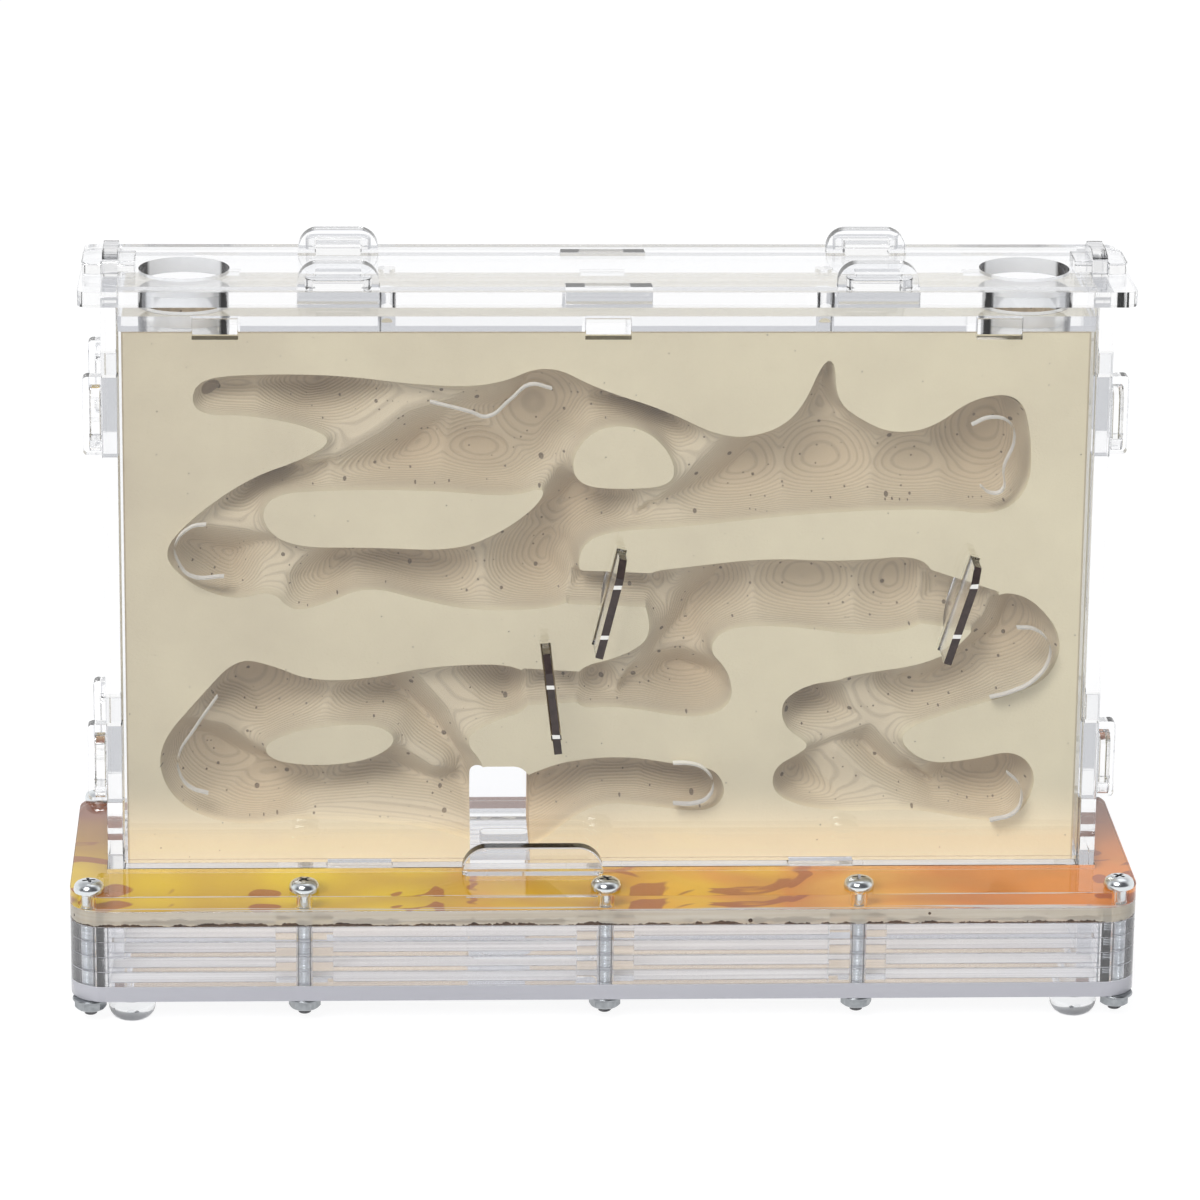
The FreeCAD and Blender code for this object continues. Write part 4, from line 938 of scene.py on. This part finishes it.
# The floor of the tunnels goes from hollow to hollow, with a low ridge where two of them meet.
HOLLOWS = (
    (-69, 121, 16), (-93, 122, 9), (-89, 95, 16), (-51, 104, 15), (-32, 100, 15), (-77, 72, 16),
    (-51, 74, 15), (-10, 76, 16), (-92, 77, 14), (-101, 83, 13), (-18, 117, 15), (-8, 93, 16),
    (-90, 47, 16), (-49, 35, 17), (-96, 29, 15), (-85, 15, 14), (-57, 20, 13), (-43, 13, 13),
    (-28, 45, 16), (-12, 16, 15), (11, 116, 16), (55, 122, 12), (55, 102, 14), (34, 101, 14),
    (78, 99, 13), (97, 111, 16), (94, 96, 14), (19, 70, 16), (51, 71, 12), (76, 71, 12),
    (20, 47, 15), (2, 44, 14), (100, 63, 15), (87, 49, 13), (58, 39, 16), (48, 20, 16),
    (67, 29, 15), (78, 19, 15), (98, 20, 14), (19, 18, 15), (3, 20, 14),
)
SHALLOWEST = 7.0
HOLLOW_RISE = 0.022
# Crisp crests part some hollows. Each has its depth below the face, the width of the easy shelf
# on its left hand, and the line that it follows; on its right hand the floor falls off at once.
CRESTS = (
    (3.5, 6, ((-68, 106), (-57, 112.5), (-50, 118), (-40, 121), (-29, 126))),
    (4.0, 4, ((-108, 89), (-96, 87.5), (-85, 86))),
    (4.0, 6, ((-81, 64), (-80.5, 75), (-74, 82))),
    (7.0, 2, ((-16, 98), (-9, 107))),
    (4.5, 7, ((-50, 52), (-39, 39), (-30, 23))),
    (4.5, 2, ((-54, 31), (-43, 23.5))),
    (8.0, 3, ((-109, 37), (-96, 34), (-87, 28))),
    (4.5, 8, ((-31, 8), (-44, 13.5), (-58, 15), (-73, 13))),
    (3.5, 4, ((13, 95), (20, 101.5), (31, 113))),
    (4.5, 6, ((8, 52), (11.5, 60), (15, 71), (24, 79))),
    (9.0, 2, ((11, 52), (20, 54), (28, 51))),
    (4.5, 5, ((80, 50), (91.5, 60), (98, 72))),
    (4.0, 7, ((60, 49), (64, 39), (69.5, 34), (77, 26))),
    (4.0, 3, ((48, 28), (60, 31.5), (69, 35))),
    (5.0, 8, ((78, 12), (68, 20), (60, 28))),
)
SHELF_SLOPE = 0.2
FALL_SLOPE = 1.1
LIP = 0.16
CORRIDOR_DEPTH = 9.9
MESH_STEP = 0.7


def rounded(points, rounds=3):
    """Cuts the corners of an outline again and again, until it runs smoothly."""
    line = np.array(points, float)
    for _ in range(rounds):
        following = np.roll(line, -1, axis=0)
        line = np.stack((line * 0.75 + following * 0.25, line * 0.25 + following * 0.75),
                        axis=1).reshape(-1, 2)
    return line


def within(x, z, outline):
    """How far points lie inside an outline (negative outside), and the nearest place on it."""
    far = np.full(x.shape, 1e9)
    near_x, near_z = np.zeros(x.shape), np.zeros(x.shape)
    inside = np.zeros(x.shape, bool)
    for (ax, az), (bx, bz) in zip(outline, np.roll(outline, -1, axis=0)):
        run_x, run_z = bx - ax, bz - az
        share = np.clip(((x - ax) * run_x + (z - az) * run_z) / (run_x ** 2 + run_z ** 2), 0, 1)
        on_x, on_z = ax + share * run_x, az + share * run_z
        gap = np.hypot(x - on_x, z - on_z)
        closer = gap < far
        far = np.where(closer, gap, far)
        near_x, near_z = np.where(closer, on_x, near_x), np.where(closer, on_z, near_z)
        if az != bz:
            crosses = (az > z) != (bz > z)
            inside ^= crosses & (x < ax + (z - az) / (bz - az) * run_x)
    return np.where(inside, far, -far), near_x, near_z


def beside(x, z, line):
    """How far points lie from an open line, and which of them are on its left hand."""
    far = np.full(x.shape, 1e9)
    on_left = np.zeros(x.shape, bool)
    for (ax, az), (bx, bz) in zip(line, line[1:]):
        run_x, run_z = bx - ax, bz - az
        share = np.clip(((x - ax) * run_x + (z - az) * run_z) / (run_x ** 2 + run_z ** 2), 0, 1)
        gap = np.hypot(x - ax - share * run_x, z - az - share * run_z)
        closer = gap < far
        far = np.where(closer, gap, far)
        on_left = np.where(closer, run_x * (z - az) - run_z * (x - ax) > 0, on_left)
    return far, on_left


block_low, block_high = (np.array(corner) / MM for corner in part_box("plaster_nest"))
columns = round((block_high[0] - block_low[0]) / MESH_STEP)
rows = round((block_high[2] - block_low[2]) / MESH_STEP)
bpy.ops.mesh.primitive_grid_add(x_subdivisions=columns, y_subdivisions=rows, size=1, location=(0, 0, 0))
block = bpy.context.object
block.name = "carved_plaster_nest"
flat = np.empty(len(block.data.vertices) * 3)
block.data.vertices.foreach_get("co", flat)
flat = flat.reshape(-1, 3)
x = (flat[:, 0] + 0.5) * (block_high[0] - block_low[0]) + block_low[0]
z = (flat[:, 1] + 0.5) * (block_high[2] - block_low[2])
edge_of_grid = (np.abs(flat[:, 0]) > 0.4999) | (np.abs(flat[:, 1]) > 0.4999)
room, room_x, room_z = np.full(x.shape, -1e9), np.zeros(x.shape), np.zeros(x.shape)
for outline in (UPPER_GALLERY, MIDDLE_CHAMBER, LEFT_CHAMBER, RIGHT_CHAMBER, LOWER_CHAMBER):
    far, on_x, on_z = within(x, z, rounded(outline))
    best = far > room
    room = np.where(best, far, room)
    room_x, room_z = np.where(best, on_x, room_x), np.where(best, on_z, room_z)
passage = np.full(x.shape, -1e9)
for outline in CORRIDORS:
    far, on_x, on_z = within(x, z, np.array(outline, float))
    passage = np.maximum(passage, far)
    best = far > room
    room = np.where(best, far, room)
    room_x, room_z = np.where(best, on_x, room_x), np.where(best, on_z, room_z)
for outline in ISLANDS:
    far, on_x, on_z = within(x, z, rounded(outline))
    best = -far < room
    room = np.where(best, -far, room)
    room_x, room_z = np.where(best, on_x, room_x), np.where(best, on_z, room_z)
floor_depth = np.full(x.shape, SHALLOWEST)
for hollow_x, hollow_z, hollow_depth in HOLLOWS:
    away = (x - hollow_x) ** 2 + (z - hollow_z) ** 2
    floor_depth = np.maximum(floor_depth, hollow_depth - HOLLOW_RISE * away)
for crest_depth, shelf, line in CRESTS:
    gap, on_left = beside(x, z, line)
    on_shelf = np.where(on_left, np.minimum(gap, shelf), 0)
    floor_depth = np.minimum(floor_depth,
                             crest_depth + SHELF_SLOPE * on_shelf + FALL_SLOPE * (gap - on_shelf))
in_passage = np.clip((passage + 5) / 6, 0, 1)
floor_depth = floor_depth * (1 - in_passage) + CORRIDOR_DEPTH * in_passage
upward = np.clip((room_z - z) / np.maximum(np.abs(room), 0.01), -1, 1)
easy = 7.5 - 3.5 * upward
share = np.clip(room / easy, 0, 1)
carve = np.where(room > 0, floor_depth * np.maximum(np.sqrt(1 - (1 - share) ** 2), LIP), 0.0)
open_ground = room > MESH_STEP * 0.5
grid = carve.reshape(rows + 1, columns + 1)
milled = open_ground.reshape(rows + 1, columns + 1)
for _ in range(3):
    around = grid.copy()
    around[1:-1, 1:-1] = (grid[1:-1, 1:-1] * 4 + grid[:-2, 1:-1] + grid[2:, 1:-1]
                          + grid[1:-1, :-2] + grid[1:-1, 2:]) / 8
    grid = np.where(milled & (grid > 2.0), around, grid)
carve = np.where(open_ground, grid.reshape(-1), 0.0)
on_rim = (np.abs(room) <= MESH_STEP * 0.5) & ~edge_of_grid
x, z = np.where(on_rim, room_x, x), np.where(on_rim, room_z, z)
flat[:, 0], flat[:, 1], flat[:, 2] = x * MM, (NEST_FACE + carve) * MM, (z + BASE_TOP) * MM
block.data.vertices.foreach_set("co", flat.reshape(-1))
bpy.context.view_layer.objects.active = block
bpy.ops.object.mode_set(mode="EDIT")
bpy.ops.mesh.select_mode(type="EDGE")
bpy.ops.mesh.select_all(action="SELECT")
bpy.ops.mesh.quads_convert_to_tris(quad_method="SHORTEST_DIAGONAL")
bpy.ops.mesh.select_all(action="DESELECT")
bpy.ops.mesh.select_non_manifold()
bpy.ops.mesh.extrude_region_move(TRANSFORM_OT_translate={"value": (0, (block_high[1] - NEST_FACE) * MM, 0)})
bpy.ops.mesh.edge_face_add()
bpy.ops.mesh.select_all(action="SELECT")
bpy.ops.mesh.remove_doubles(threshold=0.06 * MM)
bpy.ops.mesh.dissolve_degenerate(threshold=0.02 * MM)
bpy.ops.mesh.normals_make_consistent(inside=False)
bpy.ops.object.mode_set(mode="OBJECT")
block.data.materials.append(plaster)


def box_cutter(low, high, corner=0.0, turn=0.0):
    """A box to cut with, its two upper edges rounded, turned about its middle like a clock's hand."""
    middle = (Vector(low) + Vector(high)) / 2
    bpy.ops.mesh.primitive_cube_add(size=1, location=(0, 0, 0))
    cutter = bpy.context.object
    cutter.scale = (Vector(high) - Vector(low)) * MM
    settle(cutter)
    if corner:
        bpy.ops.object.mode_set(mode="EDIT")
        bpy.ops.mesh.select_mode(type="EDGE")
        bpy.ops.mesh.select_all(action="DESELECT")
        bpy.ops.object.mode_set(mode="OBJECT")
        for edge in cutter.data.edges:
            ends = [cutter.data.vertices[i].co for i in edge.vertices]
            edge.select = abs(ends[0].y - ends[1].y) > 1e-6 and min(end.z for end in ends) > 0
        bpy.ops.object.mode_set(mode="EDIT")
        bpy.ops.mesh.bevel(offset=corner * MM, segments=10, affect="EDGES")
        bpy.ops.object.mode_set(mode="OBJECT")
    cutter.data.transform(Matrix.Translation(middle * MM) @ Matrix.Rotation(math.radians(turn), 4, "Y"))
    cutter.data.materials.append(plaster)
    return cutter


cut_away(block, box_cutter((-33.8, -12, BASE_TOP - 3), (-18.4, 24, BASE_TOP + 24.7), corner=4.5))
for x_port in PORTS:
    bore = port_cutter(x_port, BASE_TOP + 119, 176, radius=BORE_RADIUS)
    bore.data.materials.append(plaster)
    cut_away(block, bore)
# Each gate: its node, its middle along the face and above the base, and its lean in degrees.
GATES = (("nest_gate_upper", 1.0, 70.5, 13.5), ("nest_gate_right", 89.5, 68.5, 17.0),
         ("nest_gate_left", -13.5, 45.5, -6.8))
GATE_SLOT_HALF = (1.3, 13.05)
for _, x_gate, z_gate, lean in GATES:
    half_width, half_height = GATE_SLOT_HALF
    middle = z_gate + BASE_TOP
    cut_away(block, box_cutter((x_gate - half_width, -11, middle - half_height),
                               (x_gate + half_width, 1.1, middle + half_height), turn=lean))
smooth(block, 38)
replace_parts(block, "plaster_nest")
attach(block, "body")


# ---- Nest gates ----
# Three thin clear plates that slide through the front panel and close a tunnel. Their front edge
# is painted near-black, with thin bright bands on it that are painted highlights.
dark_edge, tree, shader = shader_of("dark_edge_with_painted_highlights")
band = add_node(tree, "ShaderNodeTexWave",
                {"Vector": object_coordinates(tree), "Scale": 24.0, "Distortion": 0.0},
                wave_type="BANDS", bands_direction="Z")
# The cut edge is painted near-black, with thin bright bands that are painted highlights.
painted_highlight_bands = maths(tree, "GREATER_THAN", band.outputs["Fac"], 0.985)
near_black_edge_tone = mottled(tree, 600.0, 3.0, (0.012, 0.008, 0.008, 1), (0.07, 0.045, 0.04, 1))["Tone"]
striped = mix_colours(tree, painted_highlight_bands, near_black_edge_tone, (0.85, 0.84, 0.80, 1))
tree.links.new(striped, shader.inputs["Base Color"])
set_inputs(shader, {"Roughness": 0.12})
for node, _, _, lean in GATES:
    across = Vector((math.cos(math.radians(lean)), 0, -math.sin(math.radians(lean))))
    gate = finish_sheet(node, "x", hair=0.0, ride_on=node, across=across, width=0.12)
    gate.data.materials.append(dark_edge)
    for polygon in gate.data.polygons:
        if polygon.normal.y < -0.6:
            polygon.material_index = 2


# ---- Passage gate ----
# A clear upright plate with a round-cornered grip; its blade hangs through a slot of the printed
# plate and closes the way into the base chamber.
finish_sheet("passage_gate", "y", hair=0.02, ride_on="passage_gate", width=0.3)
